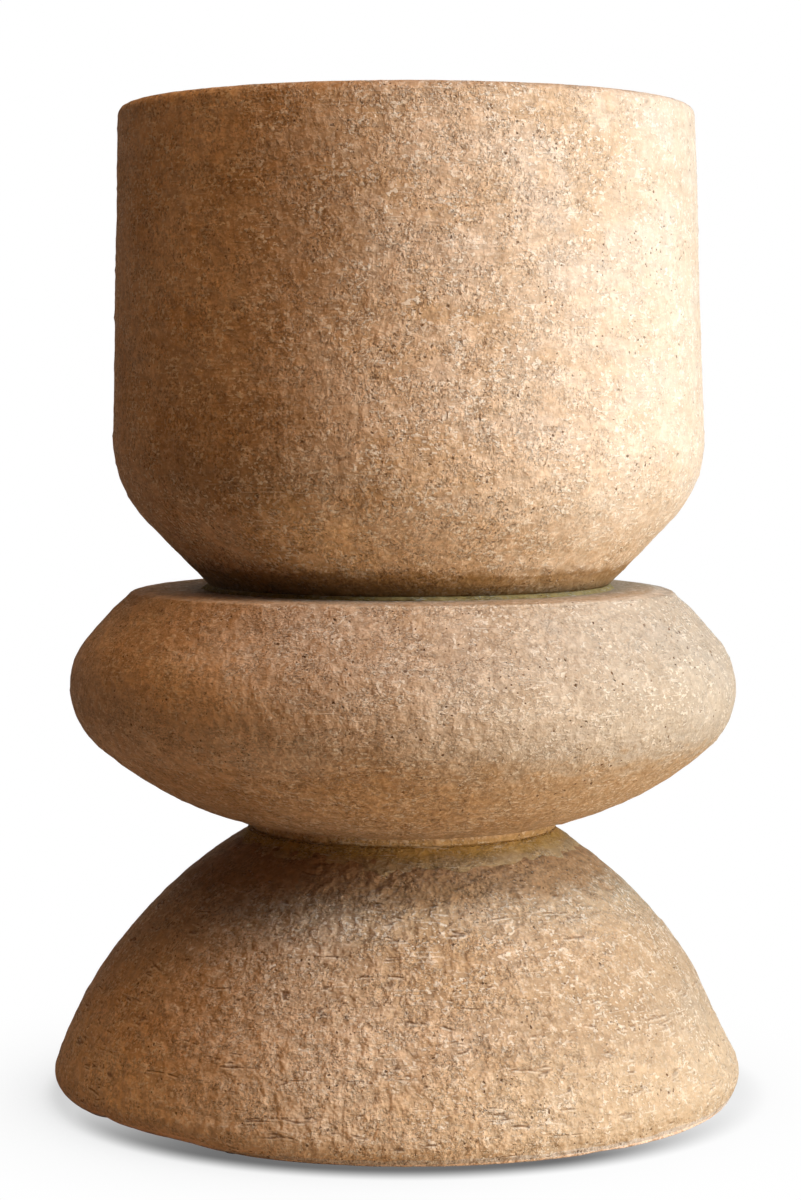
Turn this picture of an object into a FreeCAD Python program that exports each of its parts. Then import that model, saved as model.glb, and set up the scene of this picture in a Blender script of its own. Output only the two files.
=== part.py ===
"""Floor planter in three stacked, hand-finished cast sections with a stopped drain.

From the floor up: rubber pads, a hollow domed base, a hollow flattened disc and an open pot, each
section bedded on the one below in mortar. A flanged drain fitting clamps the pot to the disc, its
pipe runs down through the two hollow sections, and a rubber plug closes it from inside the pot.
The origin is on the floor, on the planter's axis, with +Z up.
"""
import FreeCAD, Part
import Sketcher
import math
import os

V = FreeCAD.Vector
FULL_TURN = 360.0
EDGE_MATCH = 0.01
NUT_SIDES = 6

# Driving sizes in millimetres. A name that ends in share is a proportion, and one in count a number.
SIZES = {
    # levels and joints
    "pad_stand": 1.5,
    "bed_thickness": 2.5,
    "bed_inset": 1.5,
    "running_gap": 0.3,
    "fitting_clearance": 0.6,
    # domed base
    "base_height": 202.5,
    "base_radius": 272.6,
    "base_top_radius": 117.5,
    "base_arc": 331.0,
    "base_rounding": 17.0,
    "base_wall": 20.0,
    "base_crown": 26.0,
    "base_foot_ring": 46.0,
    "base_inner_rounding": 12.0,
    "access_radius": 37.0,
    # pads under the base
    "pad_radius": 9.0,
    "pad_recess": 2.0,
    "pad_edge": 2.5,
    "pad_count": 6,
    # flattened disc
    "disc_height": 185.5,
    "disc_top_radius": 209.5,
    "disc_side_radius": 275.8,
    "disc_side_height": 111.3,
    "disc_side_rounding": 57.0,
    "disc_haunch_arc": 246.0,
    "disc_foot_radius": 118.0,
    "disc_neck": 5.5,
    "disc_edge_rounding": 6.0,
    "disc_wall": 18.0,
    "disc_top_plate": 24.0,
    "disc_bottom_plate": 24.0,
    # pot
    "pot_height": 365.5,
    "rim_radius": 220.5,
    "belly_radius": 228.5,
    "belly_height": 76.5,
    "belly_rounding": 91.0,
    "pot_foot_radius": 154.0,
    "pot_wall": 19.0,
    "pot_floor": 26.0,
    "pot_floor_rounding": 24.0,
    "rim_rounding": 7.5,
    "lip_rounding": 5.0,
    # drain fitting
    "tail_radius": 20.0,
    "drain_bore": 15.0,
    "flange_radius": 36.0,
    "flange_thickness": 5.0,
    "gasket_radius": 34.0,
    "gasket_thickness": 3.0,
    "seat_radius": 17.5,
    "seat_depth": 8.0,
    "washer_thickness": 2.0,
    "nut_across_flats": 54.0,
    "hexagon_corner_share": 0.57735,
    "nut_thickness": 12.0,
    "thread_overrun": 6.0,
    "socket_depth": 24.0,
    # drain pipe and its guide
    "pipe_bore": 13.8,
    "pipe_wall": 2.2,
    "pipe_floor_gap": 40.0,
    "outlet_length": 60.0,
    "pipe_stop_radius": 19.0,
    "pipe_stop": 4.0,
    "guide_radius": 52.0,
    "guide_thickness": 4.0,
    "guide_boss": 20.0,
    # plug
    "plug_head_radius": 22.0,
    "plug_head": 4.0,
    "plug_stem": 14.0,
    "plug_edge": 1.2,
    "tab_width": 24.0,
    "tab_thickness": 6.0,
    "tab_height": 16.0,
    "tab_rounding": 2.0,
}


class Size:
    """A length, with the sheet expression that keeps a feature bound to it."""

    def __init__(self, value, text):
        self.value = value
        self.text = text

    def __add__(self, other):
        return Size(self.value + other.value, f"({self.text} + {other.text})")

    def __sub__(self, other):
        return Size(self.value - other.value, f"({self.text} - {other.text})")

    def __mul__(self, share):
        return Size(self.value * share.value, f"{self.text} * {share.text}")

    def half(self):
        return Size(self.value / 2, f"{self.text} / 2")


doc = FreeCAD.newDocument("planter")
sheet = doc.addObject("Spreadsheet::Sheet", "sizes")
size = {}
for row, (alias, number) in enumerate(SIZES.items(), start=1):
    sheet.set(f"A{row}", alias)
    sheet.set(f"B{row}", str(number))
    sheet.setAlias(f"B{row}", alias)
    size[alias] = Size(number, f"sizes.{alias}")
doc.recompute()

# Heights above the floor at which the sections and fittings stand.
base_level = size["pad_stand"]
lower_bed_level = base_level + size["base_height"]
disc_level = lower_bed_level + size["bed_thickness"]
upper_bed_level = disc_level + size["disc_height"]
pot_level = upper_bed_level + size["bed_thickness"]
gasket_level = pot_level + size["pot_floor"]
flange_level = gasket_level + size["gasket_thickness"]
flange_top = flange_level + size["flange_thickness"]
washer_top = upper_bed_level - size["disc_top_plate"]
nut_top = washer_top - size["washer_thickness"]
pipe_top = nut_top - size["nut_thickness"] - size["thread_overrun"]
tail_end = pipe_top - size["socket_depth"]
crown_underside = lower_bed_level - size["base_crown"]
guide_level = crown_underside - size["guide_thickness"]
plug_level = flange_top + size["running_gap"]

# Radii that follow from the fits.
tail_hole = size["tail_radius"] + size["fitting_clearance"]
pipe_radius = size["pipe_bore"] + size["pipe_wall"]
socket_radius = pipe_radius + size["running_gap"]


def new_body(label, level):
    """Makes an empty body that stands at a height above the floor."""
    body = doc.addObject("PartDesign::Body", label)
    body.Label = label
    body.setExpression("Placement.Base.z", level.text)
    return body


def origin_part(body, role):
    """Finds a plane or an axis of the body's own origin."""
    return next(part for part in body.Origin.OriginFeatures if part.Role == role)


def bind(sketch, kind, *place):
    """Adds a constraint whose last item is a Size and ties it to the sheet."""
    *geometry, length = place
    index = sketch.addConstraint(Sketcher.Constraint(kind, *geometry, length.value))
    sketch.setExpression(f"Constraints[{index}]", length.text)


def arc_centre(start, end, radius):
    """Finds the centre of the arc from start to end that lies to the left of the way between them."""
    across, up = end[0] - start[0], end[1] - start[1]
    chord = math.hypot(across, up)
    height = math.sqrt(radius ** 2 - (chord / 2) ** 2)
    return ((start[0] + end[0]) / 2 - up / chord * height, (start[1] + end[1]) / 2 + across / chord * height)


def beside(start, end, gap):
    """Shifts a line to its left by a gap."""
    across, up = end[0] - start[0], end[1] - start[1]
    run = math.hypot(across, up)
    shift = (-up / run * gap, across / run * gap)
    return (start[0] + shift[0], start[1] + shift[1]), (end[0] + shift[0], end[1] + shift[1])


def at_height(line, height):
    """Finds the point of a line at a height."""
    (left, low), (right, high) = line
    share = (height - low) / (high - low)
    return (left + (right - left) * share, height)


def crossing(line, other):
    """Finds where two lines cross."""
    (ax, ay), (bx, by) = line
    (cx, cy), (dx, dy) = other
    turn = (bx - ax) * (dy - cy) - (by - ay) * (dx - cx)
    share = ((cx - ax) * (dy - cy) - (cy - ay) * (dx - cx)) / turn
    return (ax + (bx - ax) * share, ay + (by - ay) * share)


def line_meets_circle(line, centre, radius):
    """Finds where a line last leaves a circle."""
    (ax, ay), (bx, by) = line
    run = math.hypot(bx - ax, by - ay)
    ux, uy = (bx - ax) / run, (by - ay) / run
    along = (centre[0] - ax) * ux + (centre[1] - ay) * uy
    off = (centre[0] - ax) * uy - (centre[1] - ay) * ux
    reach = along + math.sqrt(radius ** 2 - off ** 2)
    return (ax + ux * reach, ay + uy * reach)


class Outline:
    """A closed outline in a body's upright XZ plane, x outwards and y upwards."""

    def __init__(self, body, name):
        self.body = body
        self.sketch = body.newObject("Sketcher::SketchObject", name)
        self.sketch.AttachmentSupport = [(origin_part(body, "XZ_Plane"), "")]
        self.sketch.MapMode = "FlatFace"
        self.edges = []

    def trace(self, corners, centres=None):
        """Draws an edge from each corner to the next: a line, or an arc about its centre."""
        centres = centres or {}
        for index, start in enumerate(corners):
            end = corners[(index + 1) % len(corners)]
            if index in centres:
                self.edges.append(self._arc(start, end, centres[index]))
            else:
                line = Part.LineSegment(V(*start, 0), V(*end, 0))
                self.edges.append((self.sketch.addGeometry(line), 1, 2))
        for index, (edge, _, last) in enumerate(self.edges):
            after, first, _ = self.edges[(index + 1) % len(self.edges)]
            self.sketch.addConstraint(Sketcher.Constraint("Coincident", edge, last, after, first))

    def _arc(self, start, end, centre):
        angles = [math.atan2(point[1] - centre[1], point[0] - centre[0]) for point in (start, end)]
        turn = (angles[1] - angles[0] + math.pi) % (2 * math.pi) - math.pi
        circle = Part.Circle(V(*centre, 0), V(0, 0, 1), math.dist(start, centre))
        if turn > 0:
            return self.sketch.addGeometry(Part.ArcOfCircle(circle, angles[0], angles[0] + turn)), 1, 2
        return self.sketch.addGeometry(Part.ArcOfCircle(circle, angles[1], angles[1] - turn)), 2, 1

    def fix(self, corner, across=None, up=None):
        """Holds a corner at a radius, at a height or at both."""
        edge, first, _ = self.edges[corner]
        if across:
            bind(self.sketch, "DistanceX", -1, 1, edge, first, across)
        if up:
            bind(self.sketch, "DistanceY", -1, 1, edge, first, up)

    def on_base_line(self, *corners):
        """Holds corners at the body's own floor."""
        for corner in corners:
            edge, first, _ = self.edges[corner]
            self.sketch.addConstraint(Sketcher.Constraint("PointOnObject", edge, first, -1))

    def on_axis(self, *corners):
        """Holds corners on the axis."""
        for corner in corners:
            edge, first, _ = self.edges[corner]
            self.sketch.addConstraint(Sketcher.Constraint("PointOnObject", edge, first, -2))

    def level(self, *edges):
        """Keeps edges level."""
        for edge in edges:
            self.sketch.addConstraint(Sketcher.Constraint("Horizontal", self.edges[edge][0]))

    def upright(self, *edges):
        """Keeps edges upright."""
        for edge in edges:
            self.sketch.addConstraint(Sketcher.Constraint("Vertical", self.edges[edge][0]))

    def radius(self, edge, length):
        """Sets an arc's radius."""
        bind(self.sketch, "Radius", self.edges[edge][0], length)

    def concentric(self, edge, other):
        """Gives two arcs one centre."""
        self.sketch.addConstraint(
            Sketcher.Constraint("Coincident", self.edges[edge][0], 3, self.edges[other][0], 3))

    def beside(self, edge, other, gap):
        """Keeps an edge parallel to another, a wall's thickness from it."""
        self.sketch.addConstraint(
            Sketcher.Constraint("Parallel", self.edges[edge][0], self.edges[other][0]))
        number, first, _ = self.edges[edge]
        bind(self.sketch, "Distance", number, first, self.edges[other][0], gap)

    def corner(self, index):
        """Gives the solved place of a corner, as radius and height."""
        edge, first, _ = self.edges[index]
        point = self.sketch.getPoint(edge, first)
        return point.x, point.y

    def revolve(self, name):
        """Turns the outline round the axis and gives the solid."""
        doc.recompute()
        if not self.sketch.FullyConstrained:
            raise RuntimeError(f"{self.sketch.Name} is not fully constrained")
        turned = self.body.newObject("PartDesign::Revolution", name)
        turned.Profile = self.sketch
        turned.ReferenceAxis = (self.sketch, ["V_Axis"])
        turned.Angle = FULL_TURN
        self.sketch.Visibility = False
        doc.recompute()
        return turned


def ring_edges(feature, radius, height):
    """Names the round edges of a solid that have a radius and lie at a height."""
    names = []
    for number, edge in enumerate(feature.Shape.Edges, start=1):
        curve = edge.Curve
        if not isinstance(curve, Part.Circle):
            continue
        if abs(curve.Radius - radius) < EDGE_MATCH and abs(curve.Center.z - height) < EDGE_MATCH:
            names.append(f"Edge{number}")
    return names


def soften(body, feature, outline, name, rounding, *corners):
    """Rounds the edges that the given corners of an outline turn into."""
    names = [edge for corner in corners for edge in ring_edges(feature, *outline.corner(corner))]
    rounded = body.newObject("PartDesign::Fillet", name)
    rounded.Base = (feature, names)
    rounded.setExpression("Radius", rounding.text)
    doc.recompute()
    return rounded


def ring_body(label, bore, radius, height, level):
    """Makes a plain ring: a bed, a washer or a length of pipe."""
    body = new_body(label, level)
    sketch = body.newObject("Sketcher::SketchObject", f"{label}_outline")
    sketch.AttachmentSupport = [(origin_part(body, "XY_Plane"), "")]
    sketch.MapMode = "FlatFace"
    for length in (bore, radius):
        circle = sketch.addGeometry(Part.Circle(V(0, 0, 0), V(0, 0, 1), length.value))
        sketch.addConstraint(Sketcher.Constraint("Coincident", circle, 3, -1, 1))
        bind(sketch, "Radius", circle, length)
    pad = body.newObject("PartDesign::Pad", f"{label}_pad")
    pad.Profile = sketch
    pad.setExpression("Length", height.text)
    sketch.Visibility = False
    return body


def pads_sketch(body, name, radius):
    """Draws one pad's circle on the pad ring, out along X."""
    sketch = body.newObject("Sketcher::SketchObject", name)
    sketch.AttachmentSupport = [(origin_part(body, "XY_Plane"), "")]
    sketch.MapMode = "FlatFace"
    ring = size["base_radius"] - size["base_foot_ring"] + size["pad_edge"] + size["pad_radius"]
    circle = sketch.addGeometry(Part.Circle(V(ring.value, 0, 0), V(0, 0, 1), radius.value))
    sketch.addConstraint(Sketcher.Constraint("PointOnObject", circle, 3, -1))
    bind(sketch, "DistanceX", -1, 1, circle, 3, ring)
    bind(sketch, "Radius", circle, radius)
    return sketch


def around_axis(body, feature, name):
    """Repeats a feature round the axis, once for each pad."""
    pattern = body.newObject("PartDesign::PolarPattern", name)
    pattern.Originals = [feature]
    pattern.Axis = (origin_part(body, "Z_Axis"), [""])
    pattern.Angle = FULL_TURN
    pattern.setExpression("Occurrences", size["pad_count"].text)
    body.Tip = pattern
    return pattern


def make_floor_pads():
    """Rubber pads let into the base's foot ring, all alike."""
    body = new_body("floor_pads", Size(0.0, "0"))
    body.AllowCompound = True
    sketch = pads_sketch(body, "pad_outline", size["pad_radius"])
    pad = body.newObject("PartDesign::Pad", "pad")
    pad.Profile = sketch
    pad.setExpression("Length", (size["pad_stand"] + size["pad_recess"]).text)
    doc.recompute()
    around_axis(body, pad, "pad_ring")
    return body


def make_base_dome():
    """Domed base: an even wall between concentric arcs, a thick foot ring and a flat crown."""
    height, wall = size["base_height"], size["base_wall"]
    foot = size["base_radius"] - size["base_foot_ring"]
    underside = height - size["base_crown"]
    bore, crown = size["access_radius"], size["base_top_radius"]
    rim = (size["base_radius"].value, 0)
    centre = arc_centre(rim, (crown.value, height.value), size["base_arc"].value)
    inner_arc = size["base_arc"] - wall
    spring = (foot.value, centre[1] + math.sqrt(inner_arc.value ** 2 - (foot.value - centre[0]) ** 2))
    shoulder = (centre[0] + math.sqrt(inner_arc.value ** 2 - (underside.value - centre[1]) ** 2),
                underside.value)
    corners = [(bore.value, height.value), (crown.value, height.value), rim, (foot.value, 0), spring,
               shoulder, (bore.value, underside.value)]
    body = new_body("base_dome", base_level)
    outline = Outline(body, "base_outline")
    outline.trace(corners, {1: centre, 4: centre})
    outline.fix(0, bore, height)
    outline.fix(1, crown, height)
    outline.fix(2, size["base_radius"])
    outline.fix(3, foot)
    outline.on_base_line(2, 3)
    outline.fix(6, bore, underside)
    outline.upright(3)
    outline.level(5)
    outline.radius(1, size["base_arc"])
    outline.concentric(4, 1)
    outline.radius(4, inner_arc)
    shell = outline.revolve("base_shell")
    shell = soften(body, shell, outline, "base_lip_rounding", size["base_rounding"], 2)
    shell = soften(body, shell, outline, "base_inner_corners", size["base_inner_rounding"], 4, 5)
    recess = body.newObject("PartDesign::Pocket", "pad_recess")
    recess.Profile = pads_sketch(body, "pad_recess_outline", size["pad_radius"] + size["running_gap"])
    recess.setExpression("Length", size["pad_recess"].text)
    recess.Reversed = True
    doc.recompute()
    if recess.Shape.Volume >= shell.Shape.Volume:
        raise RuntimeError("the pad recess cuts nothing")
    around_axis(body, recess, "pad_recesses")
    return body


def make_middle_disc():
    """Flattened disc: a sloping brow, a round side and a curved haunch down to a narrow neck."""
    height, wall = size["disc_height"], size["disc_wall"]
    ceiling = height - size["disc_top_plate"]
    floor = size["disc_bottom_plate"]
    brow = (size["disc_top_radius"].value, height.value)
    side = (size["disc_side_radius"].value, size["disc_side_height"].value)
    neck = (size["disc_foot_radius"].value, size["disc_neck"].value)
    centre = arc_centre(neck, side, size["disc_haunch_arc"].value)
    inner_arc = size["disc_haunch_arc"] - wall
    inner_slope = beside(side, brow, wall.value)[::-1]
    inner_side = line_meets_circle(inner_slope, centre, inner_arc.value)
    inner_brow = at_height(inner_slope, ceiling.value)
    inner_foot = (centre[0] + math.sqrt(inner_arc.value ** 2 - (floor.value - centre[1]) ** 2),
                  floor.value)
    corners = [(tail_hole.value, height.value), brow, side, neck, (neck[0], 0),
               (size["access_radius"].value, 0), (size["access_radius"].value, floor.value),
               inner_foot, inner_side, inner_brow, (tail_hole.value, ceiling.value)]
    body = new_body("middle_disc", disc_level)
    outline = Outline(body, "disc_outline")
    outline.trace(corners, {2: centre, 7: centre})
    outline.fix(0, tail_hole, height)
    outline.fix(1, size["disc_top_radius"], height)
    outline.fix(2, size["disc_side_radius"], size["disc_side_height"])
    outline.fix(3, size["disc_foot_radius"], size["disc_neck"])
    outline.upright(3)
    outline.on_base_line(4, 5)
    outline.fix(5, size["access_radius"])
    outline.fix(6, size["access_radius"], floor)
    outline.level(6, 9)
    outline.fix(10, tail_hole, ceiling)
    outline.radius(2, size["disc_haunch_arc"])
    outline.concentric(7, 2)
    outline.radius(7, inner_arc)
    outline.beside(8, 1, wall)
    shell = outline.revolve("disc_shell")
    shell = soften(body, shell, outline, "disc_side_round", size["disc_side_rounding"], 2)
    shell = soften(body, shell, outline, "disc_hollow_round", size["disc_side_rounding"] - wall, 8)
    soften(body, shell, outline, "disc_top_edge", size["disc_edge_rounding"], 1)
    return body


def make_pot_shell():
    """Open pot: a tall, slightly bowed wall that turns in to a conical foot, with a drain hole."""
    height, wall, floor = size["pot_height"], size["pot_wall"], size["pot_floor"]
    foot = (size["pot_foot_radius"].value, 0)
    belly = (size["belly_radius"].value, size["belly_height"].value)
    rim = (size["rim_radius"].value, height.value)
    inner_wall = beside(belly, rim, wall.value)
    inner_cone = beside(foot, belly, wall.value)
    inner_belly = crossing(inner_wall, inner_cone)
    corners = [(tail_hole.value, 0), foot, belly, rim, at_height(inner_wall, height.value), inner_belly,
               at_height(inner_cone, floor.value), (tail_hole.value, floor.value)]
    body = new_body("pot_shell", pot_level)
    outline = Outline(body, "pot_outline")
    outline.trace(corners)
    outline.on_base_line(0, 1)
    outline.fix(0, tail_hole)
    outline.fix(1, size["pot_foot_radius"])
    outline.fix(2, size["belly_radius"], size["belly_height"])
    outline.fix(3, size["rim_radius"], height)
    outline.level(3, 6)
    outline.beside(4, 2, wall)
    outline.beside(5, 1, wall)
    outline.fix(7, tail_hole, floor)
    shell = outline.revolve("pot_wall_shell")
    shell = soften(body, shell, outline, "belly_round", size["belly_rounding"], 2)
    shell = soften(body, shell, outline, "inner_belly_round", size["belly_rounding"] - wall, 5)
    shell = soften(body, shell, outline, "floor_corner", size["pot_floor_rounding"], 6)
    shell = soften(body, shell, outline, "rim_edge", size["rim_rounding"], 3)
    soften(body, shell, outline, "lip_edge", size["lip_rounding"], 4)
    return body


def turned_body(label, level, points):
    """Makes a turned piece from corners held at a radius and a height; no height is the body's floor."""
    body = new_body(label, level)
    outline = Outline(body, f"{label}_outline")
    outline.trace([(across.value, up.value if up else 0) for across, up in points])
    for index, (across, up) in enumerate(points):
        outline.fix(index, across, up)
        if up is None:
            outline.on_base_line(index)
    outline.revolve(f"{label}_turned")
    return body


def make_drain_flange():
    """Flanged drain fitting: a tapered seat for the plug and a long tail that ends in the pipe's socket."""
    under = flange_level - tail_end
    top = flange_top - tail_end
    shoulder = size["socket_depth"]
    tail, flange = size["tail_radius"], size["flange_radius"]
    bore, seat = size["drain_bore"], size["seat_radius"]
    return turned_body("drain_flange", tail_end, [
        (socket_radius, None), (tail, None), (tail, under), (flange, under), (flange, top), (seat, top),
        (bore, top - size["seat_depth"]), (bore, shoulder), (socket_radius, shoulder)])


def make_drain_pipe():
    """Pipe from the fitting's socket to above the floor, with a stop ring above its free outlet."""
    end = size["pipe_floor_gap"]
    top = pipe_top - end
    bore = size["pipe_bore"]
    stop = size["outlet_length"]
    ring = size["pipe_stop_radius"]
    above = stop + size["pipe_stop"]
    return turned_body("drain_pipe", end, [
        (bore, None), (pipe_radius, None), (pipe_radius, stop), (ring, stop), (ring, above),
        (pipe_radius, above), (pipe_radius, top), (bore, top)])


def make_pipe_guide():
    """Guide under the base's crown: a plate with a boss up into the access hole round the pipe."""
    bore = socket_radius
    boss = size["access_radius"] - size["fitting_clearance"]
    plate = size["guide_thickness"]
    top = plate + size["guide_boss"]
    rim = size["guide_radius"]
    return turned_body("pipe_guide", guide_level, [
        (bore, None), (rim, None), (rim, plate), (boss, plate), (boss, top), (bore, top)])


def make_drain_backnut():
    """Hexagonal nut below the disc's top plate."""
    blank = doc.addObject("Part::Prism", "nut_blank")
    blank.Polygon = NUT_SIDES
    blank.setExpression("Circumradius", (size["nut_across_flats"] * size["hexagon_corner_share"]).text)
    blank.setExpression("Height", size["nut_thickness"].text)
    bore = doc.addObject("Part::Cylinder", "nut_bore")
    bore.setExpression("Radius", (size["tail_radius"] + size["running_gap"]).text)
    bore.setExpression("Height", size["nut_thickness"].text)
    nut = doc.addObject("Part::Cut", "drain_backnut")
    nut.Label = "drain_backnut"
    nut.Base = blank
    nut.Tool = bore
    nut.setExpression("Placement.Base.z", (nut_top - size["nut_thickness"]).text)
    return nut


def make_drain_plug():
    """Rubber plug: a tapered stem in the seat, a flat head and an upright finger tab."""
    gap = size["running_gap"]
    depth, head = size["plug_stem"], size["plug_head"]
    taper = size["seat_depth"]
    bore = size["drain_bore"] - gap
    seat = size["seat_radius"] - gap
    # The body stands at the stem's end, below the underside of the head.
    base = plug_level - depth
    points = [(None, None), (bore - size["plug_edge"], None), (bore, size["plug_edge"]),
              (bore, depth - taper), (seat, depth), (size["plug_head_radius"], depth),
              (size["plug_head_radius"], depth + head), (None, depth + head)]
    body = new_body("drain_plug", base)
    outline = Outline(body, "plug_outline")
    outline.trace([(across.value if across else 0, up.value if up else 0) for across, up in points])
    outline.on_axis(7)
    outline.sketch.addConstraint(Sketcher.Constraint("Coincident", outline.edges[0][0], 1, -1, 1))
    outline.on_base_line(1)
    for index, (across, up) in enumerate(points):
        outline.fix(index, across, up)
    turned = outline.revolve("plug_turned")
    soften(body, turned, outline, "plug_head_edge", size["plug_edge"], 6)
    tab = Outline(body, "tab_outline")
    low, high = depth + head, depth + head + size["tab_height"]
    half = size["tab_width"].half()
    root = depth + head.half()
    tab.trace([(-half.value, root.value), (half.value, root.value), (half.value, high.value),
               (-half.value, high.value)])
    tab.level(0, 2)
    tab.upright(1, 3)
    tab.fix(1, half, root)
    bind(tab.sketch, "DistanceX", tab.edges[0][0], 1, tab.edges[0][0], 2, size["tab_width"])
    tab.fix(2, None, high)
    slab = body.newObject("PartDesign::Pad", "finger_tab")
    slab.Profile = tab.sketch
    slab.setExpression("Length", size["tab_thickness"].text)
    slab.Midplane = True
    doc.recompute()
    names = []
    for number, line in enumerate(slab.Shape.Edges, start=1):
        above = line.BoundBox.ZMax > low.value + EDGE_MATCH
        if isinstance(line.Curve, Part.Line) and above and line.BoundBox.ZMin > low.value - EDGE_MATCH:
            names.append(f"Edge{number}")
    rounded = body.newObject("PartDesign::Fillet", "tab_rounding")
    rounded.Base = (slab, names)
    rounded.setExpression("Radius", size["tab_rounding"].text)
    doc.recompute()
    return body


def make_parts():
    """Makes every piece of the planter, from the floor up."""
    return [
        make_floor_pads(),
        make_base_dome(),
        ring_body("lower_mortar_bed", size["access_radius"], size["disc_foot_radius"] - size["bed_inset"],
                  size["bed_thickness"], lower_bed_level),
        make_middle_disc(),
        ring_body("upper_mortar_bed", tail_hole, size["pot_foot_radius"] - size["bed_inset"],
                  size["bed_thickness"], upper_bed_level),
        make_pot_shell(),
        ring_body("flange_gasket", tail_hole, size["gasket_radius"], size["gasket_thickness"],
                  gasket_level),
        make_drain_flange(),
        ring_body("backnut_washer", size["tail_radius"] + size["running_gap"], size["gasket_radius"],
                  size["washer_thickness"], nut_top),
        make_drain_backnut(),
        make_drain_pipe(),
        make_pipe_guide(),
        make_drain_plug(),
    ]


def check(parts):
    """Stops if a feature failed or a piece is not a valid closed solid."""
    for item in doc.Objects:
        if {"Invalid", "Error"} & set(item.State):
            raise RuntimeError(f"{item.Name} failed: {item.State}")
    for part in parts:
        if part.Shape.isNull() or not part.Shape.isValid() or not part.Shape.Solids:
            raise RuntimeError(f"{part.Label} is not a valid solid")


parts = make_parts()
doc.recompute()
check(parts)
os.makedirs("parts", exist_ok=True)
for part in parts:
    part.Shape.exportStep(os.path.join("parts", f"{part.Label}.step"))
    box = part.Shape.optimalBoundingBox()
    print(f"{part.Label}: {len(part.Shape.Solids)} solid(s), {part.Shape.Volume / 1000:.1f} cm3, "
          f"radius {box.XMax:.1f}, from {box.ZMin:.1f} to {box.ZMax:.1f}")
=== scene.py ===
"""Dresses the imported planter: three hand-finished cast sections, their mortar joints and the drain set.

Every size is in millimetres until a mesh or a node is made, and in metres from there on.
"""
import logging
import math
from dataclasses import dataclass, field, replace
from enum import Enum
from functools import reduce

import bpy
import numpy as np
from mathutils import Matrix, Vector


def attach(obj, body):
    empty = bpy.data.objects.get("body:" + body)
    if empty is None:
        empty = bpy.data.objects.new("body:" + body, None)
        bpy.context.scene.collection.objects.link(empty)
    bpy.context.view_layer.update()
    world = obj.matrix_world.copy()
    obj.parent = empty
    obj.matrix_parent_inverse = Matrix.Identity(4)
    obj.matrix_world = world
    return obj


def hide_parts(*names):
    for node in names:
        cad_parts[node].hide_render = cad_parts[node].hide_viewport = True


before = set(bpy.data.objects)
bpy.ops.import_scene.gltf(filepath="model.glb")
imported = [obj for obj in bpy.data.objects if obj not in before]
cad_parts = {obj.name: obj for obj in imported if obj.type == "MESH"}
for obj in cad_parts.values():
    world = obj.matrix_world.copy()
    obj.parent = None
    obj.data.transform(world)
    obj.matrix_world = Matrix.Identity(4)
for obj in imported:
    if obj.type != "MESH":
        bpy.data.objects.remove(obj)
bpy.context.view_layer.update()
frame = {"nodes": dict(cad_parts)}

MM = 0.001
BODY = "planter"
LOG = logging.getLogger("planter")

Point = tuple[float, float]
Triple = tuple[float, float, float]
Colour = tuple[float, float, float]
Material = bpy.types.Material
Mesh = bpy.types.Mesh
Socket = bpy.types.NodeSocket


# ---------------------------------------------------------------- outlines

# Millimetres between two samples of an outline, and the sample step in which a rounding looks for its place.
SAMPLE_STEP = 0.1
THINNING = 5


class Zone(Enum):
    """How finely a stretch of an outline is meshed, and how rough its surface is."""

    FACE = (3.0, 512, 1.0)
    EDGE = (1.2, 512, 0.35)
    WIPED = (2.6, 512, 0.35)
    INSIDE = (7.0, 256, 0.6)
    HOLLOW = (12.0, 128, 0.0)
    BEDDED = (14.0, 128, 0.0)

    def __init__(self, spacing: float, ring_points: int, roughness: float) -> None:
        """Keeps the row spacing in millimetres, the points in a ring and the share of the relief."""
        self.spacing, self.ring_points, self.roughness = spacing, ring_points, roughness


def straight(start: Point, end: Point) -> np.ndarray:
    """Samples a straight line.

    Args:
        start: First point, as radius and height.
        end: Last point.

    Returns:
        An array of points, radius and height.
    """
    count = max(2, int(math.dist(start, end) / SAMPLE_STEP))
    share = np.linspace(0.0, 1.0, count)[:, None]
    return np.array(start) * (1 - share) + np.array(end) * share


def bowed(start: Point, end: Point, centre: Point) -> np.ndarray:
    """Samples the shorter arc between two points.

    Args:
        start: First point, as radius and height.
        end: Last point.
        centre: The arc's centre.

    Returns:
        An array of points, radius and height.
    """
    first = math.atan2(start[1] - centre[1], start[0] - centre[0])
    last = math.atan2(end[1] - centre[1], end[0] - centre[0])
    turn = (last - first + math.pi) % math.tau - math.pi
    radius = math.dist(start, centre)
    angle = np.linspace(first, first + turn, max(3, int(abs(turn) * radius / SAMPLE_STEP)))
    return np.stack([centre[0] + radius * np.cos(angle), centre[1] + radius * np.sin(angle)], axis=1)


def arc_centre(start: Point, end: Point, radius: float) -> Point:
    """Finds the centre of the arc that lies to the left of the way from start to end.

    Args:
        start: First point of the arc.
        end: Last point of the arc.
        radius: The arc's radius.

    Returns:
        The centre, as radius and height.
    """
    across, up = end[0] - start[0], end[1] - start[1]
    chord = math.hypot(across, up)
    height = math.sqrt(radius ** 2 - (chord / 2) ** 2)
    return (start[0] + end[0]) / 2 - up / chord * height, (start[1] + end[1]) / 2 + across / chord * height


def beside(start: Point, end: Point, gap: float) -> tuple[Point, Point]:
    """Shifts a line to its left.

    Args:
        start: First point of the line.
        end: Last point of the line.
        gap: How far it is shifted.

    Returns:
        Both points of the shifted line.
    """
    run = math.dist(start, end)
    aside = (-(end[1] - start[1]) / run * gap, (end[0] - start[0]) / run * gap)
    return (start[0] + aside[0], start[1] + aside[1]), (end[0] + aside[0], end[1] + aside[1])


def at_height(line: tuple[Point, Point], height: float) -> Point:
    """Finds the point of a line at a height."""
    (left, low), (right, high) = line
    return left + (right - left) * (height - low) / (high - low), height


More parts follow.
